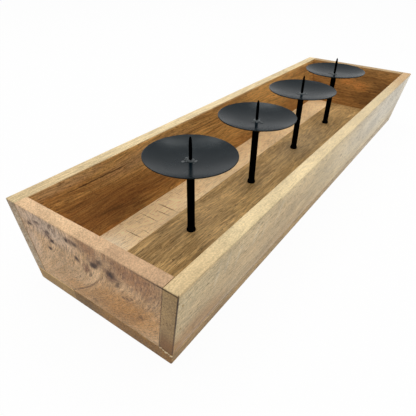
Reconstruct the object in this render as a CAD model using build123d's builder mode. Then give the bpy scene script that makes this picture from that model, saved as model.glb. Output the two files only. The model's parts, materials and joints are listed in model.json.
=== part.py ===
"""Advent candle holder: a flared wooden tray with a row of screwed-in steel pricket stands.

X runs along the tray, Y across it and Z up. The origin lies on the table, under the tray's middle.
All lengths are millimetres and all angles are degrees.
"""
import os
from math import cos, radians, sin, tan

from build123d import *

# Row of stands
stand_count = 4
plate_diameter = 80.0
plate_gap = 31.0  # clear distance between the rims of two neighbouring plates
row_end_gap = 99.0  # from an end panel to the nearest stem of a centred row, along the floor
row_offset = 4.0  # the row stands this far towards the right end

# Wooden tray
floor_width = 120.5  # between the side boards, along the floor
tray_height = 76.0
base_thickness = 12.0
back_base_width = 44.0  # narrower of the two glued base boards, on the underside
side_thickness = 11.5
end_thickness = 10.8
side_flare = 9.0  # lean of the side boards away from upright
end_flare = 3.0  # lean of the end panels away from upright
rim_easing = 0.8  # rounding of the rim and of the upright corners
foot_easing = 1.0  # rounding of the base's lower edges and corners

# Brads that hold the boards
brad_diameter = 1.4
brad_length = 28.0
brad_head_diameter = 2.2
brad_head_height = 0.8
brad_set = 0.5  # depth of a brad's head below the wood
brad_clearance = 0.02
corner_brad_height_shares = (0.4, 0.78)  # of the walls' height, from the floor up
side_brad_place_shares = (-0.88, -0.3, 0.3, 0.88)  # of half the floor's length

# Machine screws and washers under the base
screw_diameter = 4.0
thread_engagement = 7.7  # length of screw inside the stem
thread_clearance = 0.05  # radial, between the screw and the stem
screw_hole_clearance = 0.1  # radial, between the screw and the base
thread_end_room = 1.3  # empty bore beyond the screw's tip
screw_tip_chamfer = 0.6
screw_head_diameter = 8.0
screw_head_height = 3.1
screw_head_round = 1.2
screw_head_recess = 0.6  # height of the head above the table
cross_slot_length = 4.6
cross_slot_width = 1.1
cross_slot_depth = 1.6
washer_diameter = 9.0
washer_thickness = 0.8
washer_hole_clearance = 0.15
counterbore_clearance = 0.5  # radial, round the washer

# Stems and their foot collars
stem_wall = 1.45  # steel left round the thread
stem_length = 71.2
collar_clearance = 0.02
collar_wall = 0.85
collar_height = 3.6
collar_shoulder = 1.4  # height of the collar's sloping top
collar_lip = 0.15  # thickness left at the top of the slope
collar_easing = 0.4

# Dished plates, spikes and the braze round them
plate_thickness = 1.1
dish_depth = 6.2
plate_rim_easing = 0.4
spike_diameter = 3.0
spike_height = 21.5  # above the plate
spike_tip_diameter = 0.8
spike_tip_length = 9.0
spike_tang = 5.0  # length held inside the stem
spike_clearance = 0.02
spike_tang_room = 0.5  # empty bore below the tang
braze_width = 2.3  # radial, round the spike
braze_height = 1.1
braze_round_share = 0.72  # fullness of the bead's rounded outline
braze_margin = 0.8  # flat plate left outside the bead

# Depth by which a blank reaches beyond the planes that saw it
saw_overrun = 5.0

# Sizes worked out from the ones above
stand_pitch = plate_diameter + plate_gap
stand_places = [row_offset + (n - (stand_count - 1) / 2) * stand_pitch for n in range(stand_count)]
side_slope = tan(radians(side_flare))
end_slope = tan(radians(end_flare))
side_wall = side_thickness / cos(radians(side_flare))
end_wall = end_thickness / cos(radians(end_flare))
floor_half_length = (stand_count - 1) / 2 * stand_pitch + row_end_gap
base_half_length = floor_half_length + end_wall - base_thickness * end_slope
base_half_width = floor_width / 2 + side_wall - base_thickness * side_slope
seam_place = base_half_width - back_base_width
washer_seat = screw_head_recess + screw_head_height
counterbore_depth = washer_seat + washer_thickness
counterbore_radius = washer_diameter / 2 + counterbore_clearance
screw_length = base_thickness - washer_seat + thread_engagement
stem_radius = screw_diameter / 2 + thread_clearance + stem_wall
stem_top = base_thickness + stem_length
spike_radius = spike_diameter / 2
spike_hole_radius = spike_radius + spike_clearance
plate_land = spike_radius + braze_width + braze_margin


def outer_half_length(height):
    """Half of the tray's outer length at a height above the table."""
    return base_half_length + height * end_slope


def outer_half_width(height):
    """Half of the tray's outer width at a height above the table."""
    return base_half_width + height * side_slope


def end_plane(end, inset=0):
    """Plane of the outer face of the left (-1) or right (1) end, or one further in."""
    lean = radians(end_flare)
    face = Plane((end * base_half_length, 0, 0), x_dir=(0, 1, 0), z_dir=(end * cos(lean), 0, -sin(lean)))
    return face.offset(-inset)


def side_plane(side, inset=0):
    """Plane of the outer face of the front (-1) or back (1) side, or one further in."""
    lean = radians(side_flare)
    face = Plane((0, side * base_half_width, 0), x_dir=(1, 0, 0), z_dir=(0, side * cos(lean), -sin(lean)))
    return face.offset(-inset)


def sawn_board(low, high, inside_of, outside_of):
    """Board between two heights, inside the first planes and outside the second ones."""
    with BuildPart() as board:
        with BuildSketch(Plane.XY.offset(low)):
            Rectangle(
                2 * (outer_half_length(tray_height) + saw_overrun),
                2 * (outer_half_width(tray_height) + saw_overrun),
            )
        extrude(amount=high - low)
        for plane in inside_of:
            split(bisect_by=plane, keep=Keep.BOTTOM)
        for plane in outside_of:
            split(bisect_by=plane, keep=Keep.TOP)
    return board.part


def corner_brad_planes(side):
    """Places of the brads through one side board, each plane facing out of the wood."""
    outward = side_plane(side).z_dir
    planes = []
    for share in corner_brad_height_shares:
        height = base_thickness + share * (tray_height - base_thickness)
        reach = outer_half_length(height) - end_wall / 2
        for end in (-1, 1):
            place = (end * reach, side * outer_half_width(height), height)
            planes.append(Plane(place, x_dir=(1, 0, 0), z_dir=outward))
    return planes


def base_brad_planes():
    """Places of the brads up through the base into the four walls, each plane facing down."""
    grip_height = (base_thickness + brad_set + brad_length) / 2
    side_reach = outer_half_width(grip_height) - side_wall / 2
    end_reach = outer_half_length(grip_height) - end_wall / 2
    places = []
    for far in (-1, 1):
        places += [(share * floor_half_length, far * side_reach) for share in side_brad_place_shares]
        board_middle = (seam_place + far * base_half_width) / 2
        places += [(end * end_reach, board_middle) for end in (-1, 1)]
    return [Plane((x, y, 0), x_dir=(1, 0, 0), z_dir=(0, 0, -1)) for x, y in places]


def brad_holes(planes):
    """Drill the holes of some brads into the part that is being built."""
    with Locations(*planes):
        CounterBoreHole(
            radius=brad_diameter / 2 + brad_clearance,
            counter_bore_radius=brad_head_diameter / 2 + brad_clearance,
            counter_bore_depth=brad_set + brad_head_height,
            depth=brad_set + brad_length + brad_clearance,
        )


def brads(planes):
    """Solids of some brads, each with its head set below the wood."""
    with BuildPart() as nails:
        for plane in planes:
            with BuildSketch(plane.offset(-brad_set)):
                Circle(brad_head_diameter / 2)
            extrude(amount=-brad_head_height)
            with BuildSketch(plane.offset(-brad_set - brad_head_height)):
                Circle(brad_diameter / 2)
            extrude(amount=brad_head_height - brad_length)
    return nails.part


os.makedirs("parts", exist_ok=True)

# Side boards, the full length of the tray
for label, side in (("front_side_board", -1), ("back_side_board", 1)):
    blank = sawn_board(
        base_thickness,
        tray_height,
        [end_plane(-1), end_plane(1), side_plane(side)],
        [side_plane(side, side_thickness)],
    )
    with BuildPart() as side_board:
        add(blank)
        outer_face = side_board.faces().sort_by(Axis.Y)[0 if side < 0 else -1]
        upright_corners = outer_face.edges().sort_by(Axis.Z)[1:-1]
        rim_edges = side_board.faces().sort_by(Axis.Z)[-1].edges()
        fillet(rim_edges + upright_corners, radius=rim_easing)
        brad_holes(corner_brad_planes(side) + base_brad_planes())
    side_board.part.label = label
    export_step(side_board.part, f"parts/{label}.step")

# End panels, between the side boards
for label, end in (("left_end_panel", -1), ("right_end_panel", 1)):
    blank = sawn_board(
        base_thickness,
        tray_height,
        [end_plane(end), side_plane(-1, side_thickness), side_plane(1, side_thickness)],
        [end_plane(end, end_thickness)],
    )
    with BuildPart() as end_panel:
        add(blank)
        rim_edges = end_panel.faces().sort_by(Axis.Z)[-1].edges().filter_by(Axis.Y)
        fillet(rim_edges, radius=rim_easing)
        brad_holes(corner_brad_planes(-1) + corner_brad_planes(1) + base_brad_planes())
    end_panel.part.label = label
    export_step(end_panel.part, f"parts/{label}.step")

# Base boards, glued edge to edge along the seam
seam_plane = Plane((0, seam_place, 0), x_dir=(1, 0, 0), z_dir=(0, 1, 0))
screw_planes = [Plane((place, 0, 0), x_dir=(1, 0, 0), z_dir=(0, 0, -1)) for place in stand_places]
for label, side in (("front_base_board", -1), ("back_base_board", 1)):
    around = [end_plane(-1), end_plane(1), side_plane(side)]
    if side < 0:
        blank = sawn_board(0, base_thickness, around + [seam_plane], [])
    else:
        blank = sawn_board(0, base_thickness, around, [seam_plane])
    with BuildPart() as base_board:
        add(blank)
        lower_edges = base_board.faces().sort_by(Axis.Z)[0].edges().sort_by(Axis.Y)
        outer_edges = lower_edges[:-1] if side < 0 else lower_edges[1:]
        outer_face = base_board.faces().sort_by(Axis.Y)[0 if side < 0 else -1]
        upright_corners = outer_face.edges().sort_by(Axis.Z)[1:-1]
        fillet(outer_edges + upright_corners, radius=foot_easing)
        brad_holes(base_brad_planes())
        with Locations(*screw_planes):
            CounterBoreHole(
                radius=screw_diameter / 2 + screw_hole_clearance,
                counter_bore_radius=counterbore_radius,
                counter_bore_depth=counterbore_depth,
            )
    base_board.part.label = label
    export_step(base_board.part, f"parts/{label}.step")

# Brads through the side boards into the end panels
with BuildPart() as corner_brads:
    add(brads(corner_brad_planes(-1) + corner_brad_planes(1)))
corner_brads.part.label = "corner_brads"
export_step(corner_brads.part, "parts/corner_brads.step")

# Brads up through the base into the walls
with BuildPart() as base_brads:
    add(brads(base_brad_planes()))
base_brads.part.label = "base_brads"
export_step(base_brads.part, "parts/base_brads.step")

# Washers in the counterbores
with BuildPart() as washers:
    with BuildSketch(Plane.XY.offset(washer_seat)):
        with Locations(*[(place, 0) for place in stand_places]):
            Circle(washer_diameter / 2)
            Circle(screw_diameter / 2 + washer_hole_clearance, mode=Mode.SUBTRACT)
    extrude(amount=washer_thickness)
washers.part.label = "washers"
export_step(washers.part, "parts/washers.step")

# Stands, counted from the left end
for number, place in enumerate(stand_places, 1):
    stand_axis = Axis((place, 0, 0), (0, 0, 1))
    floor_profile = Plane((place, 0, base_thickness), x_dir=(1, 0, 0), z_dir=(0, -1, 0))
    plate_profile = Plane((place, 0, stem_top), x_dir=(1, 0, 0), z_dir=(0, -1, 0))

    # Machine screw, head down in its counterbore
    with BuildPart() as fixing_screw:
        with BuildSketch(Plane.XY.offset(screw_head_recess)):
            with Locations((place, 0)):
                Circle(screw_head_diameter / 2)
        extrude(amount=screw_head_height)
        fillet(fixing_screw.edges().sort_by(Axis.Z)[0], radius=screw_head_round)
        with BuildSketch(Plane.XY.offset(washer_seat)):
            with Locations((place, 0)):
                Circle(screw_diameter / 2)
        extrude(amount=screw_length)
        chamfer(fixing_screw.edges().sort_by(Axis.Z)[-1], length=screw_tip_chamfer)
        with BuildSketch(Plane.XY.offset(screw_head_recess)):
            with Locations((place, 0)):
                Rectangle(cross_slot_length, cross_slot_width)
                Rectangle(cross_slot_width, cross_slot_length)
        extrude(amount=cross_slot_depth, mode=Mode.SUBTRACT)
    fixing_screw.part.label = f"fixing_screw_{number}"
    export_step(fixing_screw.part, f"parts/fixing_screw_{number}.step")

    # Stem, bored for the screw below and for the spike above
    with BuildPart() as stem:
        with BuildSketch(Plane.XY.offset(base_thickness)):
            with Locations((place, 0)):
                Circle(stem_radius)
        extrude(amount=stem_length)
        with Locations(Plane((place, 0, base_thickness), x_dir=(1, 0, 0), z_dir=(0, 0, -1))):
            Hole(screw_diameter / 2 + thread_clearance, depth=thread_engagement + thread_end_room)
        with Locations((place, 0, stem_top)):
            Hole(spike_hole_radius, depth=spike_tang + spike_tang_room)
    stem.part.label = f"stem_{number}"
    export_step(stem.part, f"parts/stem_{number}.step")

    # Collar pressed on the stem's foot
    bore = stem_radius + collar_clearance
    with BuildPart() as foot_collar:
        with BuildSketch(floor_profile):
            with BuildLine():
                Polyline(
                    (bore, 0),
                    (stem_radius + collar_wall - collar_easing, 0),
                    (stem_radius + collar_wall, collar_easing),
                    (stem_radius + collar_wall, collar_height - collar_shoulder),
                    (bore + collar_lip, collar_height),
                    (bore, collar_height),
                    close=True,
                )
            make_face()
        revolve(axis=stand_axis)
    foot_collar.part.label = f"foot_collar_{number}"
    export_step(foot_collar.part, f"parts/foot_collar_{number}.step")

    # Dished plate: a flat middle and a shallow arc up to the rim
    plate_radius = plate_diameter / 2
    with BuildPart() as candle_plate:
        with BuildSketch(plate_profile):
            with BuildLine():
                Line((spike_hole_radius, 0), (plate_land, 0))
                TangentArc((plate_land, 0), (plate_radius, dish_depth), tangent=(1, 0))
                Line((plate_radius, dish_depth), (plate_radius, dish_depth + plate_thickness))
                TangentArc(
                    (plate_land, plate_thickness),
                    (plate_radius, dish_depth + plate_thickness),
                    tangent=(1, 0),
                )
                Line((plate_land, plate_thickness), (spike_hole_radius, plate_thickness))
                Line((spike_hole_radius, plate_thickness), (spike_hole_radius, 0))
            make_face()
        revolve(axis=stand_axis)
        rim_face = candle_plate.faces().filter_by(GeomType.CYLINDER).sort_by(SortBy.AREA)[-1]
        fillet(rim_face.edges().filter_by(GeomType.CIRCLE), radius=plate_rim_easing)
    candle_plate.part.label = f"candle_plate_{number}"
    export_step(candle_plate.part, f"parts/candle_plate_{number}.step")

    # Spike, its tang through the plate and into the stem
    with BuildPart() as spike:
        with BuildSketch(plate_profile):
            with BuildLine():
                Polyline(
                    (0, -spike_tang),
                    (spike_radius, -spike_tang),
                    (spike_radius, plate_thickness + spike_height - spike_tip_length),
                    (spike_tip_diameter / 2, plate_thickness + spike_height),
                    (0, plate_thickness + spike_height),
                    close=True,
                )
            make_face()
        revolve(axis=stand_axis)
    spike.part.label = f"spike_{number}"
    export_step(spike.part, f"parts/spike_{number}.step")

    # Braze bead round the spike's foot
    bead_foot = spike_hole_radius + braze_width
    bead_turn = (
        spike_hole_radius + braze_round_share * braze_width,
        plate_thickness + braze_round_share * braze_height,
    )
    with BuildPart() as braze_bead:
        with BuildSketch(plate_profile):
            with BuildLine():
                Line((spike_hole_radius, plate_thickness), (bead_foot, plate_thickness))
                ThreePointArc(
                    (bead_foot, plate_thickness),
                    bead_turn,
                    (spike_hole_radius, plate_thickness + braze_height),
                )
                Line((spike_hole_radius, plate_thickness + braze_height), (spike_hole_radius, plate_thickness))
            make_face()
        revolve(axis=stand_axis)
    braze_bead.part.label = f"braze_bead_{number}"
    export_step(braze_bead.part, f"parts/braze_bead_{number}.step")

print("tray outside", 2 * outer_half_length(tray_height), "by", 2 * outer_half_width(tray_height))
print("overall height", stem_top + plate_thickness + spike_height)
print("stem diameter", 2 * stem_radius, "screw length", screw_length)
print("stand places", stand_places)
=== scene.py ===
"""Looks of an advent candle holder: a flared wooden tray with a row of black steel candle stands.

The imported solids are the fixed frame: X runs along the tray, Y to its back and Z up. Sizes are metres,
except in the shaders and the marks, where places and the sizes of grain are millimetres.
"""
from __future__ import annotations

import json
import logging
import math
from collections.abc import Callable, Iterator, Mapping, Sequence
from contextlib import contextmanager
from dataclasses import dataclass
from enum import Enum, IntEnum
from itertools import pairwise
from typing import Any

import bmesh
import bpy
from mathutils import Matrix, Vector

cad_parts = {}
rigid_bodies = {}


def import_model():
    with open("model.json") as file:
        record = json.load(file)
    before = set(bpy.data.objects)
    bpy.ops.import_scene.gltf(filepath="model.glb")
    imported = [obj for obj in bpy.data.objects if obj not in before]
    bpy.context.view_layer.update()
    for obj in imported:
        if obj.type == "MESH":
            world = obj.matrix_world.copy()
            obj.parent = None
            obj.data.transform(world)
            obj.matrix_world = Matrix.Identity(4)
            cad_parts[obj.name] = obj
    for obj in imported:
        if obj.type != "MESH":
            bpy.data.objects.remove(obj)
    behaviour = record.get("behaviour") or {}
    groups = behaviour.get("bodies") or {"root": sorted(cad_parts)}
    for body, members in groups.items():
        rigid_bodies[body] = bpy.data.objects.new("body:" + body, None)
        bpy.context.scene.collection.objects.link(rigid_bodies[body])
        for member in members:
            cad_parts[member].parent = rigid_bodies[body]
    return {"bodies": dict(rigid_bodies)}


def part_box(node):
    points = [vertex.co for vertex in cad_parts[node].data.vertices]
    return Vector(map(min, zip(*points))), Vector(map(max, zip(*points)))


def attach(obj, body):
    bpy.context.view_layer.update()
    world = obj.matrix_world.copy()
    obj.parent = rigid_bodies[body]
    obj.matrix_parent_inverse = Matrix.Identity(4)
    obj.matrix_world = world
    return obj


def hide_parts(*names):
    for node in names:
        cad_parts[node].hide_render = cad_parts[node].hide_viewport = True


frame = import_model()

LOG = logging.getLogger("candle_holder")
MM = 0.001
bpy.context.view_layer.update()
TRAY_BODY = "tray"

Colour = tuple[float, float, float, float]
Plane = tuple[Vector, Vector]
Profile = Sequence[tuple[float, float]]
EdgeTest = Callable[[Vector, Vector], bool]


def paint(red: int, green: int, blue: int) -> Colour:
    """Turn a display colour into the linear colour that a shader takes.

    Args:
        red: Red from 0 to 255.
        green: Green from 0 to 255.
        blue: Blue from 0 to 255.

    Returns:
        The linear colour, opaque.
    """
    shares = (channel / 255 for channel in (red, green, blue))
    linear = (s / 12.92 if s <= 0.04045 else ((s + 0.055) / 1.055) ** 2.4 for s in shares)
    return (*linear, 1.0)


def drawn(
    outline: Profile, start: tuple[float, float], size: tuple[float, float]
) -> list[tuple[float, float]]:
    """Draw an outline of shares at its size.

    Args:
        outline: Points as shares of the width and of the height.
        start: Radius and height of the outline's own zero.
        size: Width and height.

    Returns:
        The points as radius and height.
    """
    return [(start[0] + size[0] * across, start[1] + size[1] * up) for across, up in outline]


class Axis(IntEnum):
    """Direction of the frame, as its number in a vector."""

    X = 0
    Y = 1
    Z = 2


class Side(IntEnum):
    """Long side of the tray, with the sign of its place across the tray."""

    FRONT = -1
    BACK = 1


class End(IntEnum):
    """End of the tray, with the sign of its place along the tray."""

    LEFT = -1
    RIGHT = 1


class Value:
    """A number that varies over a surface. Each operator adds one Math node."""

    def __init__(self, shader: Shader, socket: bpy.types.NodeSocket) -> None:
        """Wrap an output socket of a shader."""
        self.shader = shader
        self.socket = socket

    def __add__(self, other: Term) -> Value:
        """Add a value or a number."""
        return self.shader.math("ADD", self, other)

    def __sub__(self, other: Term) -> Value:
        """Take a value or a number away."""
        return self.shader.math("SUBTRACT", self, other)

    def __rsub__(self, other: Term) -> Value:
        """Take this value away from a number."""
        return self.shader.math("SUBTRACT", other, self)

    def __mul__(self, other: Term) -> Value:
        """Multiply by a value or a number."""
        return self.shader.math("MULTIPLY", self, other)

    def __truediv__(self, other: Term) -> Value:
        """Divide by a value or a number."""
        return self.shader.math("DIVIDE", self, other)

    def __abs__(self) -> Value:
        """Drop the sign."""
        return self.shader.math("ABSOLUTE", self)

    __radd__ = __add__
    __rmul__ = __mul__

    def most(self, other: Term) -> Value:
        """Larger of this and another value."""
        return self.shader.math("MAXIMUM", self, other)

    def least(self, other: Term) -> Value:
        """Smaller of this and another value."""
        return self.shader.math("MINIMUM", self, other)

    def fade(self, start: float, end: float) -> Value:
        """Step smoothly from 0 at one number to 1 at another, which may be the smaller.

        Args:
            start: Where the result is 0.
            end: Where the result is 1.

        Returns:
            The stepped value.
        """
        node = self.shader.add(
            "ShaderNodeMapRange",
            {"interpolation_type": "SMOOTHSTEP"},
            {"Value": self, "From Min": start, "From Max": end},
        )
        return Value(self.shader, node.outputs[0])

    def swing(self, start: float, end: float, depth: float) -> Value:
        """Step between two numbers as fade does, and vary about 0 by half of a depth."""
        return (self.fade(start, end) - 0.5) * depth


Term = Value | float
Input = Value | bpy.types.NodeSocket | float | Sequence[float]


class Shader:
    """One node tree, of a material or of the world, and the ways to add to it."""

    def __init__(self, tree: bpy.types.NodeTree) -> None:
        """Start an empty tree."""
        self.tree = tree
        tree.nodes.clear()

    @classmethod
    def of_material(cls, name: str) -> tuple[Shader, bpy.types.Material]:
        """Make a material and the shader that fills it."""
        material = bpy.data.materials.new(name)
        material.use_nodes = True
        return cls(material.node_tree), material

    def add(
        self,
        kind: str,
        settings: Mapping[str, Any] | None = None,
        sockets: Mapping[int | str, Input] | None = None,
    ) -> bpy.types.Node:
        """Add one node.

        Args:
            kind: Blender's type of the node.
            settings: The node's own settings, which are set first.
            sockets: Values or links of its inputs, by name or number.

        Returns:
            The new node.
        """
        node = self.tree.nodes.new(kind)
        for key, setting in (settings or {}).items():
            setattr(node, key, setting)
        for key, value in (sockets or {}).items():
            source = value.socket if isinstance(value, Value) else value
            if isinstance(source, bpy.types.NodeSocket):
                self.tree.links.new(source, node.inputs[key])
            else:
                node.inputs[key].default_value = source
        return node

    def math(self, operation: str, *terms: Term) -> Value:
        """Add a Math node."""
        node = self.add("ShaderNodeMath", {"operation": operation}, dict(enumerate(terms)))
        return Value(self, node.outputs[0])

    def mix(self, share: Term, first: Input, second: Input, blend: str = "MIX") -> bpy.types.NodeSocket:
        """Mix two colours.

        Args:
            share: Share of the second colour, from 0 to 1.
            first: Colour at a share of 0.
            second: Colour at a share of 1.
            blend: Blender's name of the way of mixing.

        Returns:
            The mixed colour's socket.
        """
        node = self.add(
            "ShaderNodeMix",
            {"data_type": "RGBA", "blend_type": blend},
            {0: share, 6: first, 7: second},
        )
        return node.outputs[2]

    def vector(self, x: Term, y: Term, z: Term = 0.0) -> bpy.types.NodeSocket:
        """Make a vector of three values."""
        return self.add("ShaderNodeCombineXYZ", None, {0: x, 1: y, 2: z}).outputs[0]

    def place(self) -> tuple[Value, Value, Value]:
        """Place on the object in millimetres, as three values."""
        where = self.add("ShaderNodeTexCoord").outputs["Object"]
        parts = self.add("ShaderNodeSeparateXYZ", None, {0: where}).outputs
        x, y, z = (Value(self, part) / MM for part in parts)
        return x, y, z

    def noise(self, vector: Input, detail: float) -> Value:
        """Soft noise with one cell to a unit of the vector, mostly between 0.3 and 0.7."""
        node = self.add(
            "ShaderNodeTexNoise",
            {"noise_dimensions": "3D"},
            {"Vector": vector, "Scale": 1.0, "Detail": detail, "Roughness": 0.5},
        )
        return Value(self, node.outputs[0])

    def lumps(self, place: Sequence[Value], size: float, detail: float) -> Value:
        """Noise whose cells have one size, in millimetres, every way."""
        return self.noise(self.vector(*(part / size for part in place)), detail)

    def surface(self, colour: Input, roughness: Input, height: Value | None, **fixed: Input) -> None:
        """Close the tree with a surface shader.

        Args:
            colour: Base colour.
            roughness: Roughness.
            height: Relief in millimetres for the bump, or None.
            **fixed: Constants of other sockets, with underscores for the spaces in their names.
        """
        sockets: dict[int | str, Input] = {"Base Color": colour, "Roughness": roughness}
        if height is not None:
            bump = self.add(
                "ShaderNodeBump", None, {"Height": height, "Strength": 1.0, "Distance": MM}
            )
            sockets["Normal"] = bump.outputs[0]
        sockets.update({key.replace("_", " "): number for key, number in fixed.items()})
        body = self.add("ShaderNodeBsdfPrincipled", None, sockets)
        self.add("ShaderNodeOutputMaterial", None, {"Surface": body.outputs[0]})


class Bench:
    """Handwork on one mesh object, with operators in edit mode."""

    # Distance within which points count as doubled
    MERGED = 0.001 * MM

    def __init__(self, obj: bpy.types.Object) -> None:
        """Take an object on to the bench."""
        self.obj = obj

    @classmethod
    def block(cls, name: str, low: Vector, high: Vector) -> Bench:
        """Start from a rectangular blank.

        Args:
            name: Name of the object.
            low: Lowest corner.
            high: Highest corner.

        Returns:
            The bench with the blank on it.
        """
        bpy.ops.object.select_all(action="DESELECT")
        bpy.ops.mesh.primitive_cube_add(size=1.0, location=(low + high) / 2, scale=high - low)
        return cls._started(name)

    @classmethod
    def turned(cls, name: str, profile: Profile, steps: int) -> Bench:
        """Turn a profile about the Z axis, as on a lathe.

        Args:
            name: Name of the object.
            profile: Points as radius and height, from axis to axis or round to the first point again.
            steps: Number of steps round the axis.

        Returns:
            The bench with the turned piece on it.
        """
        bench = cls.traced(name, profile)
        with bench.editing():
            bpy.ops.mesh.spin(steps=steps, angle=2 * math.pi, center=(0, 0, 0), axis=(0, 0, 1))
            bench.close()
        return bench

    @classmethod
    def traced(cls, name: str, profile: Profile) -> Bench:
        """Trace a profile as a chain of edges in the XZ plane.

        Args:
            name: Name of the object.
            profile: Points as radius and height.

        Returns:
            The bench with the profile on it.
        """
        bpy.ops.object.select_all(action="DESELECT")
        bpy.ops.mesh.primitive_plane_add(size=MM)
        bench = cls._started(name)
        with bench.editing():
            bpy.ops.mesh.merge(type="CENTER")
            bpy.ops.transform.translate(value=(profile[0][0], 0, profile[0][1]))
            for (radius, height), (next_radius, next_height) in pairwise(profile):
                step = (next_radius - radius, 0, next_height - height)
                bpy.ops.mesh.extrude_region_move(TRANSFORM_OT_translate={"value": step})
            bpy.ops.mesh.select_all(action="SELECT")
            bpy.ops.mesh.remove_doubles(threshold=cls.MERGED)
        return bench

    @classmethod
    def _started(cls, name: str) -> Bench:
        """Name the primitive that was just added and put its place into its mesh."""
        obj = bpy.context.active_object
        obj.name = name
        obj.data.name = name
        bpy.ops.object.transform_apply(location=True, rotation=True, scale=True)
        return cls(obj)

    def hold(self) -> None:
        """Select this object alone and make it the active one."""
        bpy.ops.object.select_all(action="DESELECT")
        self.obj.select_set(True)
        bpy.context.view_layer.objects.active = self.obj

    @contextmanager
    def editing(self) -> Iterator[None]:
        """Work on the object in edit mode, with all of it selected at the start."""
        self.hold()
        bpy.ops.object.mode_set(mode="EDIT")
        bpy.ops.mesh.select_mode(type="VERT")
        bpy.ops.mesh.select_all(action="SELECT")
        yield
        bpy.ops.object.mode_set(mode="OBJECT")

    def close(self) -> None:
        """Merge doubled points and turn every face outwards, in edit mode."""
        bpy.ops.mesh.select_all(action="SELECT")
        bpy.ops.mesh.remove_doubles(threshold=self.MERGED)
        bpy.ops.mesh.normals_make_consistent(inside=False)

    def pick_edges(self, test: EdgeTest) -> None:
        """Select edges in edit mode.

        Args:
            test: Takes an edge's middle and its span, and says whether it is picked.
        """
        bpy.ops.mesh.select_mode(type="EDGE")
        bpy.ops.mesh.select_all(action="DESELECT")
        mesh = bmesh.from_edit_mesh(self.obj.data)
        for edge in mesh.edges:
            start, end = (point.co for point in edge.verts)
            if test((start + end) / 2, end - start):
                edge.select_set(True)
        bmesh.update_edit_mesh(self.obj.data)

    def saw(self, cut: Plane) -> None:
        """Saw off what lies outside a plane, in edit mode."""
        bpy.ops.mesh.select_all(action="SELECT")
        bpy.ops.mesh.bisect(plane_co=cut[0], plane_no=cut[1], use_fill=True, clear_outer=True)

    def ease(self, test: EdgeTest, radius: float, segments: int) -> None:
        """Round off the picked edges, in edit mode.

        Args:
            test: Picks edges by their middle and span.
            radius: Width of the rounding.
            segments: Number of steps across it.
        """
        self.pick_edges(test)
        bpy.ops.mesh.bevel(offset=radius, offset_type="OFFSET", segments=segments, affect="EDGES")

    def divide(self, axis: Axis, cuts: int, least: float) -> None:
        """Divide the long edges that run along an axis, in edit mode.

        Args:
            axis: Direction of the edges.
            cuts: Number of cuts in each edge.
            least: Length from which an edge counts as long.
        """
        self.pick_edges(lambda middle, reach: abs(reach[axis]) > max(least, 0.9 * reach.length))
        bpy.ops.mesh.subdivide(number_cuts=cuts)

    def modify(self, kind: str, **settings: Any) -> None:
        """Add a modifier, set it and apply it.

        Args:
            kind: Blender's type of the modifier.
            **settings: The modifier's settings.
        """
        self.hold()
        modifier = self.obj.modifiers.new(kind.lower(), kind)
        for key, setting in settings.items():
            setattr(modifier, key, setting)
        bpy.ops.object.modifier_apply(modifier=modifier.name)

    def ripple(self, size: float, depth: float) -> None:
        """Give the surface a soft unevenness.

        Args:
            size: Size of one swelling.
            depth: Height between its lowest and highest places.
        """
        texture = bpy.data.textures.new("ripple", "CLOUDS")
        texture.noise_scale = size
        self.modify("DISPLACE", texture=texture, strength=depth, mid_level=0.5, texture_coords="GLOBAL")
        bpy.data.textures.remove(texture)

    def drill(self, cutter: Bench) -> None:
        """Cut another shape out of this one."""
        self.modify("BOOLEAN", operation="DIFFERENCE", object=cutter.obj, solver="EXACT")

    def fuse(self, other: Bench) -> None:
        """Weld another shape to this one and use it up."""
        self.modify("BOOLEAN", operation="UNION", object=other.obj, solver="EXACT")
        other.discard()

    def copied(self, name: str, places: Sequence[Matrix]) -> Bench:
        """Make one object of copies of this shape.

        Args:
            name: Name of the new object.
            places: Where each copy goes.

        Returns:
            The bench with the new object on it.
        """
        bpy.ops.object.select_all(action="DESELECT")
        for place in places:
            copy = self.obj.copy()
            copy.data = self.obj.data.copy()
            copy.data.transform(place)
            bpy.context.collection.objects.link(copy)
            copy.select_set(True)
            bpy.context.view_layer.objects.active = copy
        if len(places) > 1:
            bpy.ops.object.join()
        made = bpy.context.view_layer.objects.active
        made.name = name
        made.data.name = name
        return Bench(made)

    def discard(self) -> None:
        """Remove the object."""
        bpy.data.objects.remove(self.obj, do_unlink=True)

    def smooth(self, degrees: float = 30.0) -> None:
        """Shade smoothly, with creases where faces meet at more than an angle."""
        self.hold()
        bpy.ops.object.shade_smooth_by_angle(angle=math.radians(degrees))

    def hand_over(
        self, material: bpy.types.Material, body: str, slot: str, nodes: Sequence[str] = ()
    ) -> None:
        """Give the finished piece its material and its place in the frame.

        Args:
            material: Finish of the whole piece.
            body: Body that the piece moves with.
            slot: Slot of the record that the finish belongs to; not used.
            nodes: Solids that the piece stands for.
        """
        self.obj.data.materials.clear()
        self.obj.data.materials.append(material)
        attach(self.obj, body)
        if nodes:
            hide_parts(*nodes)
        LOG.info("%s: %d faces, rides on %s", self.obj.name, len(self.obj.data.polygons), body)


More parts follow.
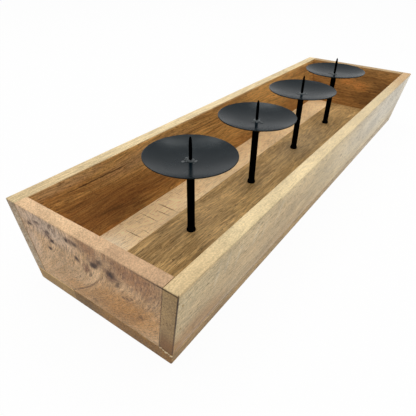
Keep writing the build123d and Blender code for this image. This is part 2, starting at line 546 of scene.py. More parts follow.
@dataclass(frozen=True)
class TrayFrame:
    """Heights and sloping planes of the tray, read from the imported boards.

    Attributes:
        side_flare: Angle by which the sides lean outwards.
        end_flare: Angle by which the ends lean outwards.
    """

    side_flare: float = math.radians(9.0)
    end_flare: float = math.radians(3.0)

    @property
    def floor(self) -> float:
        """Height of the floor of the tray."""
        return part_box("front_base_board")[1].z

    @property
    def rim(self) -> float:
        """Height of the rim."""
        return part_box("front_side_board")[1].z

    @property
    def side_slope(self) -> float:
        """Outward run of the sides for each unit of height."""
        return math.tan(self.side_flare)

    @property
    def end_slope(self) -> float:
        """Outward run of the ends for each unit of height."""
        return math.tan(self.end_flare)

    @property
    def half_length(self) -> float:
        """Half of the outer length on the table."""
        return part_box("right_end_panel")[1].x - self.rim * self.end_slope

    @property
    def half_width(self) -> float:
        """Half of the outer width on the table."""
        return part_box("back_side_board")[1].y - self.rim * self.side_slope

    @property
    def side_wall(self) -> float:
        """Level width of a side board."""
        low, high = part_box("back_side_board")
        return high.y - low.y - (self.rim - self.floor) * self.side_slope

    @property
    def end_wall(self) -> float:
        """Level width of an end panel."""
        low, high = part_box("right_end_panel")
        return high.x - low.x - (self.rim - self.floor) * self.end_slope

    @property
    def seam(self) -> float:
        """Place across the tray of the seam between the two base boards."""
        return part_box("back_base_board")[0].y

    def end_plane(self, end: End, inset: float = 0.0) -> Plane:
        """Outer plane of an end, or one further in.

        Args:
            end: The end.
            inset: Level distance inside the outer plane.

        Returns:
            A point of the plane and its outward normal.
        """
        normal = Vector((end * math.cos(self.end_flare), 0, -math.sin(self.end_flare)))
        return Vector((end * (self.half_length - inset), 0, 0)), normal

    def side_plane(self, side: Side, inset: float = 0.0) -> Plane:
        """Outer plane of a side, or one further in.

        Args:
            side: The side.
            inset: Level distance inside the outer plane.

        Returns:
            A point of the plane and its outward normal.
        """
        normal = Vector((0, side * math.cos(self.side_flare), -math.sin(self.side_flare)))
        return Vector((0, side * (self.half_width - inset), 0)), normal


class GrainRun(Enum):
    """Direction in which the grain of a board runs."""

    LENGTHWISE = "along the tray"
    CROSSWISE = "across the tray"


class Face(Enum):
    """Way in which a board's broad faces lie."""

    UPRIGHT = "wall"
    LEVEL = "base"


class Reach(Enum):
    """Faces of a board that a stain covers."""

    FACES = "all faces but the rim"
    OUTSIDE = "outer faces"
    INSIDE = "face inside the tray"
    RIM = "rim too"


@dataclass(frozen=True)
class Mark:
    """One ellipse on a board's face, of a stain, of glue or of painted light, in millimetres and degrees.

    Attributes:
        place: Place along the tray or, on an end panel, from its middle to the front.
        height: Place up the face, or across a base board.
        length: Half of its length.
        width: Half of its width.
        turn: Slope of its length.
        depth: How far it hides the wood, from 0 to 1.
    """

    place: float
    height: float
    length: float
    width: float
    turn: float = 0.0
    depth: float = 0.6


@dataclass(frozen=True)
class Stain:
    """Marks of one colour.

    Attributes:
        colour: Their colour.
        marks: The marks.
        edge: Share of a mark's radius at which it starts to fade.
        wobble: How far the outlines wander, in millimetres.
        reach: Faces that it covers.
        pace: How often the outlines wander in a millimetre.
    """

    colour: Colour
    marks: tuple[Mark, ...]
    edge: float = 0.2
    wobble: float = 2.0
    reach: Reach = Reach.FACES
    pace: float = 0.35


@dataclass(frozen=True)
class WoodTone:
    """Colours of one face of a board.

    Attributes:
        pale: Colour between the growth bands.
        dark: Colour of the growth bands.
        pore: Colour of the pores.
    """

    pale: Colour
    dark: Colour
    pore: Colour


@dataclass(frozen=True)
class Spot:
    """Where a shader is on the tray, in millimetres.

    Attributes:
        x: Place along the tray.
        y: Place across the tray.
        z: Height.
        end_depth: Depth below the outer plane of the nearer end.
        side_depth: Depth below the outer plane of the nearer side.
        below_rim: 1 below the rim's rounding, 0 on the rim.
    """

    x: Value
    y: Value
    z: Value
    end_depth: Value
    side_depth: Value
    below_rim: Value

    @property
    def place(self) -> tuple[Value, Value, Value]:
        """Place as three values."""
        return self.x, self.y, self.z

    def on_rim(self, share: float) -> Value:
        """1 below the rim, and a share on the rim."""
        return self.below_rim * (1.0 - share) + share

    @classmethod
    def of(cls, shader: Shader, tray: TrayFrame) -> Spot:
        """Work out the place and the depths in a shader."""
        x, y, z = shader.place()
        return cls(
            x,
            y,
            z,
            tray.half_length / MM + z * tray.end_slope - abs(x),
            tray.half_width / MM + z * tray.side_slope - abs(y),
            z.fade(tray.rim / MM - 0.3, tray.rim / MM - 0.9),
        )


@dataclass(frozen=True)
class Grain:
    """Coordinates in millimetres, laid along a board's grain."""

    shader: Shader
    along: Value
    across: Value
    through: Value

    def streaks(self, length: float, width: float, detail: float = 2.0) -> Value:
        """Noise drawn out along the grain.

        Args:
            length: Length of a streak.
            width: Width of a streak.
            detail: Number of finer layers.

        Returns:
            The noise.
        """
        vector = self.shader.vector(self.along / length, self.across / width, self.through / width)
        return self.shader.noise(vector, detail)


@dataclass(frozen=True)
class WoodFinish:
    """Oiled wood of one board.

    Attributes:
        name: Name of the material.
        outer: Colours of the outside and of the rim.
        inner: Colours of the face inside the tray.
        run: Direction of the grain.
        face: Way in which the broad faces lie.
        seed: Length along the log at which the board was cut, so that no two boards are alike.
        stains: Stains, streaks and knots of this board, and its patches of painted light and sheen.
        band_width: Width of a growth band.
        contrast: Strength of the bands, from 0 to 1.
        cloud: Strength of the slow changes in brightness.
        end_grain: Colour that tints the sawn ends.
        roughness: Roughness of the oiled surface.
        gloss: Strength of its reflection.
        fleck: Strength of the fine fibres.
        grit: Strength of the fine unevenness that runs no way.
        fibre_length: Length of a fibre.
        fibre_width: Width of a fibre.
        knots: Stains that lie over the figure.
        band_length: Length of a growth band.
        line_size: Length and width of a fine line.
        cloud_size: Length and width of a slow change in brightness.
        pore_size: Length and width of a pore.
        grit_size: Size of the fine unevenness.
        patch_size: Size of the patches in which joints and corners are dark.
        skin: Depth below a face that counts as that face.
        rim_figure: Share of the figure and the pores that shows on the rim.
        rim_shade: Share of the changes in brightness that shows on the rim.
    """

    name: str
    outer: WoodTone
    inner: WoodTone
    run: GrainRun
    face: Face
    seed: float
    stains: tuple[Stain, ...] = ()
    band_width: float = 9.0
    contrast: float = 0.8
    cloud: float = 0.24
    end_grain: Colour = (0.6, 0.58, 0.6, 1.0)
    roughness: float = 0.52
    gloss: float = 0.28
    fleck: float = 0.42
    grit: float = 0.2
    fibre_length: float = 8.0
    fibre_width: float = 1.2
    knots: tuple[Stain, ...] = ()
    band_length: float = 160.0
    line_size: tuple[float, float] = (34.0, 2.0)
    cloud_size: tuple[float, float] = (45.0, 20.0)
    pore_size: tuple[float, float] = (6.0, 1.1)
    grit_size: float = 1.2
    patch_size: float = 9.0
    skin: float = 1.2
    rim_figure: float = 0.3
    rim_shade: float = 0.75

    def material(self, tray: TrayFrame) -> bpy.types.Material:
        """Make the board's material.

        Args:
            tray: Planes that tell the board's faces and edges apart.

        Returns:
            The material.
        """
        shader, material = Shader.of_material(self.name)
        spot = Spot.of(shader, tray)
        grain = self.grain(shader, spot)
        inside = self.inside(tray, spot)

        bands = grain.streaks(self.band_length, self.band_width, 3.0).fade(0.38, 0.62)
        lines = grain.streaks(*self.line_size, 3.0).fade(0.4, 0.62)
        tone = (bands * 0.55 + lines * 0.65) * self.contrast * spot.on_rim(self.rim_figure)
        pale = shader.mix(inside, self.outer.pale, self.inner.pale)
        dark = shader.mix(inside, self.outer.dark, self.inner.dark)
        colour = shader.mix(tone, pale, dark)
        for stain in self.stains:
            colour = self.stained(shader, colour, stain, spot, inside)
        colour = self.figured(shader, colour, spot, grain)
        for knot in self.knots:
            colour = self.stained(shader, colour, knot, spot, inside)

        fibre = grain.streaks(self.fibre_length, self.fibre_width)
        cloud = grain.streaks(*self.cloud_size)
        grit = shader.lumps(spot.place, self.grit_size, 1.0)
        shade = fibre.swing(0.34, 0.66, self.fleck) + cloud.swing(0.3, 0.7, self.cloud)
        shade = (shade + grit.swing(0.3, 0.7, self.grit)) * spot.on_rim(self.rim_shade) + 1.0
        colour = shader.mix(1.0, colour, shader.vector(shade, shade, shade), "MULTIPLY")
        pores = grain.streaks(*self.pore_size, 1.0).fade(0.6, 0.7) * spot.on_rim(self.rim_figure)
        pore = shader.mix(inside, self.outer.pore, self.inner.pore)
        colour = shader.mix(pores * 0.62, colour, pore)
        colour = self.edged(shader, colour, spot, tray)

        relief = fibre * 0.05 - pores * 0.06
        rough = self.roughness + fibre * 0.12 + pores * 0.1
        shader.surface(colour, rough, relief, Specular_IOR_Level=self.gloss)
        return material

    def grain(self, shader: Shader, spot: Spot) -> Grain:
        """Lay the board's grain, with a slow wander."""
        along, through = (spot.x, spot.y) if self.run is GrainRun.LENGTHWISE else (spot.y, spot.x)
        slow = shader.noise(shader.vector(along / 140 + self.seed, through / 70, spot.z / 70), 1.0)
        wander = slow * 18
        return Grain(shader, along + 1000 * self.seed, spot.z + wander, through + wander)

    def inside(self, tray: TrayFrame, spot: Spot) -> Value:
        """Mask of the faces inside the tray, without the rim."""
        if self.face is Face.LEVEL:
            return self.in_skin(spot.z, tray.floor)
        if self.run is GrainRun.LENGTHWISE:
            return self.in_skin(spot.side_depth, tray.side_wall) * spot.below_rim
        return self.in_skin(spot.end_depth, tray.end_wall) * spot.below_rim

    def in_skin(self, depth: Value, face: float) -> Value:
        """Mask of what lies less than the skin below a face, by its depth in metres."""
        return depth.fade(face / MM - self.skin, face / MM - self.skin / 2)

    def stained(self, shader: Shader, colour: Input, stain: Stain, spot: Spot, inside: Value) -> Input:
        """Lay one stain's marks over a colour.

        Args:
            shader: Shader of the board.
            colour: Colour below the stain.
            stain: The stain.
            spot: Place in the shader.
            inside: Mask of the face inside the tray.

        Returns:
            The stained colour.
        """
        place = spot.x if self.run is GrainRun.LENGTHWISE else 0.0 - spot.y
        height = spot.y if self.face is Face.LEVEL else spot.z
        where = shader.vector(place, height)
        drift = shader.add(
            "ShaderNodeTexNoise", None, {"Vector": where, "Scale": stain.pace, "Detail": 2.0}
        ).outputs[1]
        centred = shader.add(
            "ShaderNodeVectorMath", {"operation": "SUBTRACT"}, {0: drift, 1: (0.5, 0.5, 0.5)}
        ).outputs[0]
        wander = shader.add(
            "ShaderNodeVectorMath",
            {"operation": "MULTIPLY_ADD"},
            {0: centred, 1: (2 * stain.wobble, 2 * stain.wobble, 0.0), 2: where},
        ).outputs[0]
        mask: Term = 0.0
        for mark in stain.marks:
            local = shader.add(
                "ShaderNodeMapping",
                {"vector_type": "TEXTURE"},
                {
                    "Vector": wander,
                    "Location": (mark.place, mark.height, 0.0),
                    "Rotation": (0.0, 0.0, math.radians(mark.turn)),
                    "Scale": (mark.length, mark.width, 1.0),
                },
            ).outputs[0]
            reach = shader.add("ShaderNodeVectorMath", {"operation": "LENGTH"}, {0: local})
            mask = (Value(shader, reach.outputs["Value"]).fade(1.0, stain.edge) * mark.depth).most(mask)
        limits: dict[Reach, Term] = {
            Reach.FACES: spot.below_rim,
            Reach.OUTSIDE: spot.below_rim * (1.0 - inside),
            Reach.INSIDE: inside,
            Reach.RIM: 1.0,
        }
        return shader.mix(mask * limits[stain.reach], colour, stain.colour)

    def figured(self, shader: Shader, colour: Input, spot: Spot, grain: Grain) -> Input:
        """Add the figure that only some boards have."""
        return colour

    def edged(self, shader: Shader, colour: Input, spot: Spot, tray: TrayFrame) -> Input:
        """Tint the sawn ends, and darken the joints and the handled corners.

        Args:
            shader: Shader of the board.
            colour: Colour of the board.
            spot: Place in the shader.
            tray: Planes of the joints.

        Returns:
            The colour with its edges.
        """
        if self.run is GrainRun.LENGTHWISE:
            sawn = spot.end_depth.fade(0.6, 0.2) * spot.below_rim
            colour = shader.mix(sawn, colour, shader.mix(1.0, colour, self.end_grain, "MULTIPLY"))
        patchy = shader.lumps(spot.place, self.patch_size, 2.0).fade(0.25, 0.6)
        colour = shader.mix(self.joints(spot, tray) * patchy, colour, JOINT)
        return shader.mix(self.handled(spot, tray) * (patchy * 0.3 + 0.7), colour, HANDLED)

    def joints(self, spot: Spot, tray: TrayFrame) -> Value:
        """Mask of the joints at the walls' feet and beside the end panels, which gape most at the front."""
        floor, side_wall, end_wall = tray.floor / MM, tray.side_wall / MM, tray.end_wall / MM
        skin = spot.end_depth.least(spot.side_depth).fade(0.8, 0.4)
        foot = abs(spot.z - floor).fade(0.55, 0.1) * skin
        corner = abs(spot.side_depth - side_wall).fade(0.5, 0.1)
        corner = corner * spot.end_depth.fade(end_wall + 0.3, end_wall)
        corner = corner * spot.z.fade(floor - 0.2, floor)
        gape = (spot.y.fade(30.0, -30.0) * 0.5 + 0.25) * spot.on_rim(self.rim_figure)
        return (foot * 0.3).most(corner * gape)

    @staticmethod
    def handled(spot: Spot, tray: TrayFrame) -> Value:
        """Mask of the dark upright corners, and of the ends' lip below the rim at the front."""
        floor, rim = tray.floor / MM, tray.rim / MM
        corner = spot.end_depth.fade(1.1, 0.4) * spot.side_depth.fade(1.1, 0.4)
        upward = spot.z.fade(12.0, 70.0) * 0.4 + 0.55
        above = spot.z.fade(floor - 1.0, floor + 1.0) * upward
        corner = corner * above.most(spot.z.fade(5.0, 1.0) * 0.6)
        lip = spot.z.fade(rim - 2.3, rim - 1.4) * spot.below_rim
        lip = lip * spot.end_depth.fade(1.2, 0.5) * spot.y.fade(-35.0, -74.0) * 0.9
        return corner.most(lip)


@dataclass(frozen=True)
class CurlWood(WoodFinish):
    """Wood cut near a crotch, whose grain sweeps up across the panel in curves.

    Attributes:
        sweep: How far the sweeping line bends away for each square millimetre below its top.
        crown: Place of the line's top, from the panel's middle to the front.
        top: Height of the line's top.
        mottle_colour: Colour of the curly mottle.
    """

    sweep: float = 0.012
    crown: float = 22.0
    top: float = 76.0
    mottle_colour: Colour = paint(128, 96, 78)

    def grain(self, shader: Shader, spot: Spot) -> Grain:
        """Lay the grain along curves that steepen towards the rim."""
        slow = shader.noise(shader.vector(spot.y / 45 + self.seed, spot.z / 45, spot.x / 90), 1.0)
        along = spot.z * 1.3 - spot.y * 0.6 + 1000 * self.seed
        return Grain(shader, along, self.curve(spot) + slow * 14 + spot.end_depth * 0.8, spot.end_depth)

    def curve(self, spot: Spot) -> Value:
        """Distance towards the front from the sweeping line that crosses the panel."""
        below = self.top - spot.z
        return 0.0 - spot.y - self.crown + below * below * self.sweep

    def figured(self, shader: Shader, colour: Input, spot: Spot, grain: Grain) -> Input:
        """Draw the sweeping line, the pale band beside it and the curly mottle of the heart."""
        mottle = grain.streaks(9.0, 3.0, 3.0).fade(0.5, 0.6) * spot.z.fade(30.0, 62.0) * spot.below_rim
        colour = shader.mix(mottle * 0.5, colour, self.mottle_colour)
        gleam = grain.streaks(8.0, 1.8, 2.0).fade(0.52, 0.64) * spot.below_rim
        colour = shader.mix(gleam * 0.22, colour, self.outer.pale)
        line = self.curve(spot)
        band = line.fade(-9.0, -6.5) * line.fade(-0.5, -2.0) * spot.z.fade(24.0, 40.0)
        colour = shader.mix(band * 0.45, colour, self.outer.pale)
        dark = abs(line + (gleam - mottle) * 0.8).fade(1.5, 0.3) * spot.z.fade(58.0, 36.0)
        return shader.mix(dark * 0.7, colour, self.outer.pore)


@dataclass(frozen=True)
class PlainFinish:
    """Finish with no grain: a coat, bare metal, filler or glue.

    Attributes:
        name: Name of the material.
        colour: Colour of most of the surface.
        thin: Colour where the coat is thin or the surface is dull.
        roughness: Roughness of the surface.
        metallic: 1 for bare metal, 0 for a coat.
        speck_depth: Depth of the fine unevenness, in millimetres.
        gloss: Strength of the reflection off a coat.
        sheen: Colour of that reflection.
        cloud_size: Size of the thin or dull places.
        speck_size: Size of the fine unevenness.
    """

    name: str
    colour: Colour
    thin: Colour
    roughness: float
    metallic: float = 0.0
    speck_depth: float = 0.006
    gloss: float = 0.5
    sheen: Colour = (1.0, 1.0, 1.0, 1.0)
    cloud_size: float = 14.0
    speck_size: float = 0.5

    def material(self) -> bpy.types.Material:
        """Make the material."""
        shader, material = Shader.of_material(self.name)
        place = shader.place()
        cloud = shader.lumps(place, self.cloud_size, 3.0)
        speck = shader.lumps(place, self.speck_size, 1.0)
        colour = shader.mix(cloud.fade(0.4, 0.75) * 0.6, self.colour, self.thin)
        rough = self.roughness + (cloud - 0.5) * 0.2 + (speck - 0.5) * 0.1
        relief = speck * self.speck_depth
        shader.surface(
            colour,
            rough,
            relief,
            Metallic=self.metallic,
            Specular_IOR_Level=self.gloss,
            Specular_Tint=self.sheen,
        )
        return material


JOINT = paint(72, 50, 32)
HANDLED = paint(40, 22, 12)

STRAW = WoodTone(paint(231, 208, 161), paint(197, 170, 123), paint(126, 96, 60))
ROSY = WoodTone(paint(230, 193, 150), paint(184, 142, 94), paint(104, 72, 46))
AMBER = WoodTone(paint(212, 163, 94), paint(166, 117, 61), paint(98, 64, 34))
UMBER = WoodTone(paint(196, 148, 86), paint(148, 106, 58), paint(80, 54, 30))
OLIVE = WoodTone(paint(208, 172, 114), paint(162, 129, 78), paint(84, 64, 38))
SAND = WoodTone(paint(255, 224, 174), paint(243, 204, 150), paint(198, 154, 104))
DRIFT = WoodTone(paint(184, 154, 110), paint(154, 124, 84), paint(100, 74, 48))
FAWN = WoodTone(paint(212, 180, 126), paint(180, 148, 98), paint(112, 84, 52))
DUN = WoodTone(paint(186, 158, 116), paint(154, 127, 90), paint(100, 78, 52))

SMOKE = Stain(
    paint(118, 80, 56),
    (
        Mark(0.0, 50.5, 10.0, 4.6, 60, 0.75),
        Mark(12.5, 61.5, 14.0, 7.0, 38, 0.75),
        Mark(26.5, 57.5, 11.0, 10.0, 25, 0.75),
        Mark(-37.5, 61.5, 12.0, 7.5, -35, 0.55),
        Mark(-10.5, 68.0, 12.0, 5.0, -5, 0.55),
        Mark(-49.0, 67.0, 11.0, 4.5, 8, 0.5),
        Mark(-58.0, 62.8, 10.0, 3.5, 8, 0.5),
        Mark(-40.0, 48.2, 7.0, 5.0, 25, 0.5),
        Mark(-8.4, 54.4, 5.2, 5.8, 20, 0.5),
        Mark(37.0, 45.0, 9.0, 6.0, 20, 0.35),
        Mark(47.7, 33.0, 6.0, 6.0, 0, 0.3),
    ),
    edge=0.0,
    wobble=3.0,
    reach=Reach.OUTSIDE,
)
KNOTS = Stain(
    paint(60, 36, 20),
    (
        Mark(-31.0, 72.4, 3.6, 2.3, 60, 0.75),
        Mark(-47.6, 68.1, 4.8, 2.3, 10, 0.65),
        Mark(-57.4, 62.9, 5.8, 1.8, 8, 0.9),
        Mark(-36.8, 64.4, 3.6, 3.0, 0, 0.8),
        Mark(-38.3, 61.5, 8.0, 1.6, -42, 0.65),
        Mark(-34.2, 57.6, 3.6, 2.9, -30, 1.0),
        Mark(-40.2, 48.0, 3.8, 2.8, 25, 1.0),
        Mark(-15.6, 68.0, 3.0, 3.6, -10, 1.0),
        Mark(-7.2, 68.4, 6.0, 2.8, -5, 0.75),
        Mark(-8.4, 54.6, 2.6, 3.2, 20, 1.0),
        Mark(-14.2, 48.3, 1.4, 3.8, -10, 0.55),
        Mark(9.4, 58.4, 7.0, 4.0, 32, 1.0),
        Mark(15.8, 64.2, 5.5, 3.3, 40, 0.7),
        Mark(3.5, 46.5, 6.2, 1.4, 62, 0.65),
        Mark(25.0, 58.6, 5.0, 5.2, 20, 1.0),
        Mark(30.5, 53.0, 6.8, 1.9, 48, 0.7),
        Mark(33.5, 43.2, 1.9, 1.7, 0, 0.65),
        Mark(37.5, 44.0, 2.0, 1.8, 0, 0.7),
        Mark(41.7, 46.5, 1.9, 1.7, 0, 0.65),
        Mark(47.7, 33.2, 3.2, 3.2, 0, 0.5),
        Mark(1.0, 18.6, 3.0, 3.8, 0, 0.35),
    ),
    edge=0.2,
    wobble=1.8,
    reach=Reach.OUTSIDE,
)
HEART = Stain(
    paint(166, 120, 82),
    (
        Mark(10.0, 74.0, 24.0, 18.0, 0, 0.85),
        Mark(45.0, 70.0, 38.0, 22.0, -12, 0.95),
        Mark(0.4, 50.0, 8.0, 4.2, 58, 0.8),
        Mark(24.8, 58.2, 9.0, 8.0, 20, 0.6),
        Mark(56.0, 57.0, 8.0, 6.0, 0, 0.6),
    ),
)
GREY_HEART = Stain(
    paint(216, 190, 166),
    (Mark(-40.0, 68.0, 46.0, 16.0, -4, 0.85), Mark(-62.0, 45.0, 14.0, 24.0, 0, 0.5)),
)
HONEY = Stain(
    paint(188, 133, 70),
    (Mark(30.0, 30.0, 56.0, 26.0, 14, 0.85), Mark(-8.0, 22.0, 40.0, 14.0, 8, 0.5)),
)
DARK_LOW_EDGE = Stain(
    paint(166, 122, 70),
    (
        Mark(-252.0, 20.0, 66.0, 24.0, 0, 0.8),
        Mark(-274.0, 16.0, 22.0, 20.0, 0, 0.95),
        Mark(-130.0, 16.0, 150.0, 26.0, 0, 0.45),
        Mark(-170.0, 40.0, 150.0, 46.0, 0, 0.3),
    ),
    reach=Reach.OUTSIDE,
)
LOW_STREAKS = Stain(
    paint(120, 88, 56),
    (
        Mark(-244.0, 16.5, 44.0, 1.2, 1, 0.6),
        Mark(-205.0, 13.4, 76.0, 0.9, 0, 0.75),
        Mark(-252.0, 26.0, 26.0, 0.9, -3, 0.5),
        Mark(-225.0, 31.0, 30.0, 0.8, -2, 0.4),
        Mark(-262.0, 40.0, 12.0, 1.0, -4, 0.4),
    ),
    wobble=1.0,
    reach=Reach.OUTSIDE,
)
PLANING = Stain(
    paint(232, 222, 196),
    (
        Mark(-237.0, 56.0, 3.2, 19.0, -6, 0.3),
        Mark(-226.0, 60.0, 3.6, 15.0, -4, 0.26),
        Mark(-211.0, 55.0, 3.4, 21.0, -7, 0.28),
        Mark(-188.0, 60.0, 3.8, 17.0, -5, 0.32),
        Mark(-174.0, 56.0, 3.2, 19.0, -8, 0.26),
        Mark(-150.0, 58.0, 4.2, 19.0, -6, 0.26),
    ),
    edge=0.0,
    wobble=0.4,
    reach=Reach.OUTSIDE,
)
# Painted sheen: a pale grey wash over the front side's outer face, strongest towards the far end, standing
# in for light and glare there.
FAR_PAINTED_SHEEN = Stain(paint(232, 224, 206), (Mark(240.0, 54.0, 330.0, 60.0, 0, 0.85),), reach=Reach.OUTSIDE)
SPECKS = Stain(
    paint(112, 84, 52),
    (
        Mark(-274.0, 62.5, 2.2, 0.9, -35, 0.6),
        Mark(-274.4, 55.0, 0.7, 2.6, 4, 0.5),
        Mark(-268.0, 67.0, 2.6, 0.7, -25, 0.4),
        Mark(-215.7, 70.8, 0.9, 1.7, 0, 0.55),
        Mark(-244.0, 45.0, 1.4, 0.7, -20, 0.4),
    ),
    wobble=1.0,
    reach=Reach.OUTSIDE,
)
SOILED_CORNER = Stain(paint(168, 127, 62), (Mark(-277.0, 13.0, 9.0, 19.0, 0, 0.7),), edge=0.0)
SOILED_BACK = Stain(
    paint(116, 102, 84), (Mark(-281.0, 71.0, 6.0, 18.0, 0, 0.4),), edge=0.0, reach=Reach.OUTSIDE
)
GLUE_LINE = Stain(
    paint(232, 214, 172), (Mark(-205.0, -71.7, 80.0, 0.32, 0, 0.95),), wobble=0.06, reach=Reach.OUTSIDE
)
RIM_TONE = Stain(
    paint(192, 152, 100),
    (Mark(-268.0, 76.0, 60.0, 3.0, 0, 0.3), Mark(275.0, 76.0, 140.0, 3.0, 0, 0.85)),
    wobble=0.4,
    reach=Reach.RIM,
)
PALE_RIM = Stain(
    paint(250, 226, 184), (Mark(-10.0, 76.0, 230.0, 3.0, 0, 0.2),), wobble=0.4, reach=Reach.RIM
)
WARM_RIM = Stain(
    paint(188, 150, 114), (Mark(45.0, 76.0, 70.0, 3.0, 0, 0.7),), wobble=0.4, reach=Reach.RIM
)
DULL_RIM = Stain(
    paint(196, 164, 120), (Mark(-240.0, 76.0, 70.0, 3.0, 0, 0.3),), wobble=0.4, reach=Reach.RIM
)
LOW_SHADE = Stain(
    paint(140, 92, 46),
    (
        Mark(-205.0, 34.0, 90.0, 30.0, 0, 0.7),
        Mark(-90.0, 26.0, 70.0, 16.0, 0, 0.4),
        Mark(-245.0, 67.0, 40.0, 14.0, 0, 0.42),
    ),
    edge=0.3,
    reach=Reach.INSIDE,
)
HIGH_BAND = Stain(
    paint(190, 154, 112),
    (Mark(-235.0, 71.0, 70.0, 6.0, 0, 0.45), Mark(-140.0, 62.0, 90.0, 14.0, 0, 0.55)),
    reach=Reach.INSIDE,
)
WALL_STREAKS = Stain(
    paint(72, 44, 20),
    (
        Mark(-205.0, 63.2, 62.0, 1.0, -1, 0.95),
        Mark(-60.0, 61.5, 110.0, 0.9, 0, 0.6),
        Mark(-236.0, 50.0, 24.0, 0.8, 1, 0.45),
        Mark(-190.0, 44.0, 40.0, 0.9, 2, 0.4),
        Mark(-150.0, 30.0, 50.0, 1.0, -2, 0.4),
        Mark(-205.0, 30.0, 46.0, 1.3, -5, 0.45),
        Mark(-186.0, 20.0, 56.0, 10.0, 0, 0.26),
        Mark(-228.0, 22.0, 30.0, 1.1, 4, 0.45),
        Mark(-105.0, 50.0, 60.0, 1.2, -4, 0.4),
        Mark(-40.0, 42.0, 50.0, 1.1, -6, 0.35),
        Mark(40.0, 52.0, 70.0, 1.5, -3, 0.35),
        Mark(125.0, 46.0, 70.0, 1.5, -4, 0.35),
    ),
    wobble=0.7,
    reach=Reach.INSIDE,
)
WALL_GOLD = Stain(paint(232, 178, 104), (Mark(120.0, 55.0, 150.0, 44.0, 0, 0.75),), reach=Reach.INSIDE)
FLOOR_STREAKS = Stain(
    paint(92, 68, 40),
    (
        Mark(-235.0, -24.0, 34.0, 2.2, 1, 0.55),
        Mark(-205.0, -14.0, 26.0, 1.8, -2, 0.45),
        Mark(-222.0, -4.0, 24.0, 1.4, 2, 0.4),
        Mark(-190.0, -25.0, 40.0, 2.6, 0, 0.55),
        Mark(-225.0, -34.0, 55.0, 5.0, 0, 0.6),
        Mark(-128.0, -20.0, 26.0, 1.6, -12, 0.45),
        Mark(-95.0, -14.0, 24.0, 1.3, -14, 0.35),
        Mark(60.0, -20.0, 40.0, 2.0, 0, 0.3),
    ),
    reach=Reach.INSIDE,
)
FLOOR_GOLD = Stain(
    paint(216, 178, 120),
    (
        Mark(-118.0, 4.0, 66.0, 20.0, 0, 0.65),
        Mark(-140.0, -24.0, 46.0, 18.0, 0, 0.4),
        Mark(230.0, 0.0, 60.0, 30.0, 0, 0.5),
    ),
    reach=Reach.INSIDE,
)
NEAR_FOOT = Stain(
    paint(148, 112, 62), (Mark(-262.0, -50.0, 130.0, 100.0, 0, 0.75),), reach=Reach.OUTSIDE
)
# Painted sheen: the same pale grey wash along the front base board's outer front face, strongest towards the
# far end.
FOOT_PAINTED_SHEEN = Stain(
    paint(228, 216, 192), (Mark(215.0, -72.5, 330.0, 5.0, 0, 0.8),), wobble=0.5, reach=Reach.OUTSIDE
)
SEAM_PATCH = Stain(
    paint(96, 76, 38), (Mark(-278.0, 20.0, 10.0, 30.0, 0, 0.6),), edge=0.3, reach=Reach.OUTSIDE
)
FLOOR_GREY = Stain(
    paint(188, 162, 120), (Mark(80.0, -4.0, 120.0, 30.0, 0, 0.55),), reach=Reach.INSIDE
)
CRACKS = Stain(
    paint(128, 88, 52),
    (
        Mark(-199.0, 38.0, 1.0, 14.0, 1, 0.85),
        Mark(-189.5, 32.0, 0.8, 9.0, -2, 0.6),
        Mark(-183.0, 48.0, 0.8, 7.0, 3, 0.5),
        Mark(-171.0, 45.0, 1.0, 17.0, -1, 0.75),
        Mark(-165.5, 46.0, 0.8, 6.0, 2, 0.5),
        Mark(-157.5, 38.5, 1.0, 12.0, 2, 0.75),
        Mark(-147.5, 42.0, 1.1, 18.0, -1, 0.95),
        Mark(-136.0, 49.0, 0.8, 8.0, 1, 0.45),
        Mark(-121.0, 50.0, 0.8, 6.0, 0, 0.4),
    ),
    edge=0.15,
    wobble=0.9,
    reach=Reach.INSIDE,
)
BLUSH = Stain(
    paint(248, 204, 150),
    (Mark(-105.0, 44.0, 26.0, 16.0, 0, 0.5), Mark(60.0, 44.0, 200.0, 30.0, 0, 0.35)),
    reach=Reach.INSIDE,
)
# Painted light: paler floor in the near back corner, where the left end panel and the back wall shade it.
PAINTED_LIGHT_CORNER = Stain(paint(255, 238, 206), (Mark(-244.0, 46.0, 56.0, 34.0, 0, 0.9),), reach=Reach.INSIDE)
EMBER = Stain(
    paint(226, 158, 86), (Mark(14.0, 47.0, 20.0, 10.0, 0, 0.75), Mark(-6.0, 51.0, 20.0, 10.0, 0, 0.7)),
    reach=Reach.INSIDE,
)
DUSK = Stain(
    paint(104, 74, 40), (Mark(38.0, 26.0, 46.0, 15.0, 0, 0.6), Mark(52.0, 50.0, 22.0, 14.0, 0, 0.55)),
    reach=Reach.INSIDE,
)
DAWN = Stain(paint(188, 144, 86), (Mark(-10.0, 72.0, 66.0, 8.0, 0, 0.6),), reach=Reach.INSIDE)

LEFT_END = CurlWood(
    "end_wood_figured",
    ROSY,
    ROSY,
    GrainRun.CROSSWISE,
    Face.UPRIGHT,
    0.31,
    (HONEY, HEART, GREY_HEART, WARM_RIM),
    contrast=0.6,
    fleck=0.24,
    grit=0.38,
    fibre_length=11.0,
    knots=(SMOKE, KNOTS),
)
RIGHT_END = WoodFinish(
    "end_wood_brown", DRIFT, UMBER, GrainRun.CROSSWISE, Face.UPRIGHT, 2.7, (DAWN, DUSK, EMBER)
)
FRONT_SIDE = WoodFinish(
    "side_wood_straw",
    STRAW,
    STRAW,
    GrainRun.LENGTHWISE,
    Face.UPRIGHT,
    4.2,
    (DARK_LOW_EDGE, LOW_STREAKS, PLANING, SPECKS, FAR_PAINTED_SHEEN, SOILED_CORNER, PALE_RIM, RIM_TONE),
    contrast=0.45,
    cloud=0.28,
    end_grain=(0.59, 0.49, 0.38, 1.0),
    roughness=0.38,
    gloss=0.18,
    fleck=0.16,
    grit=0.3,
)
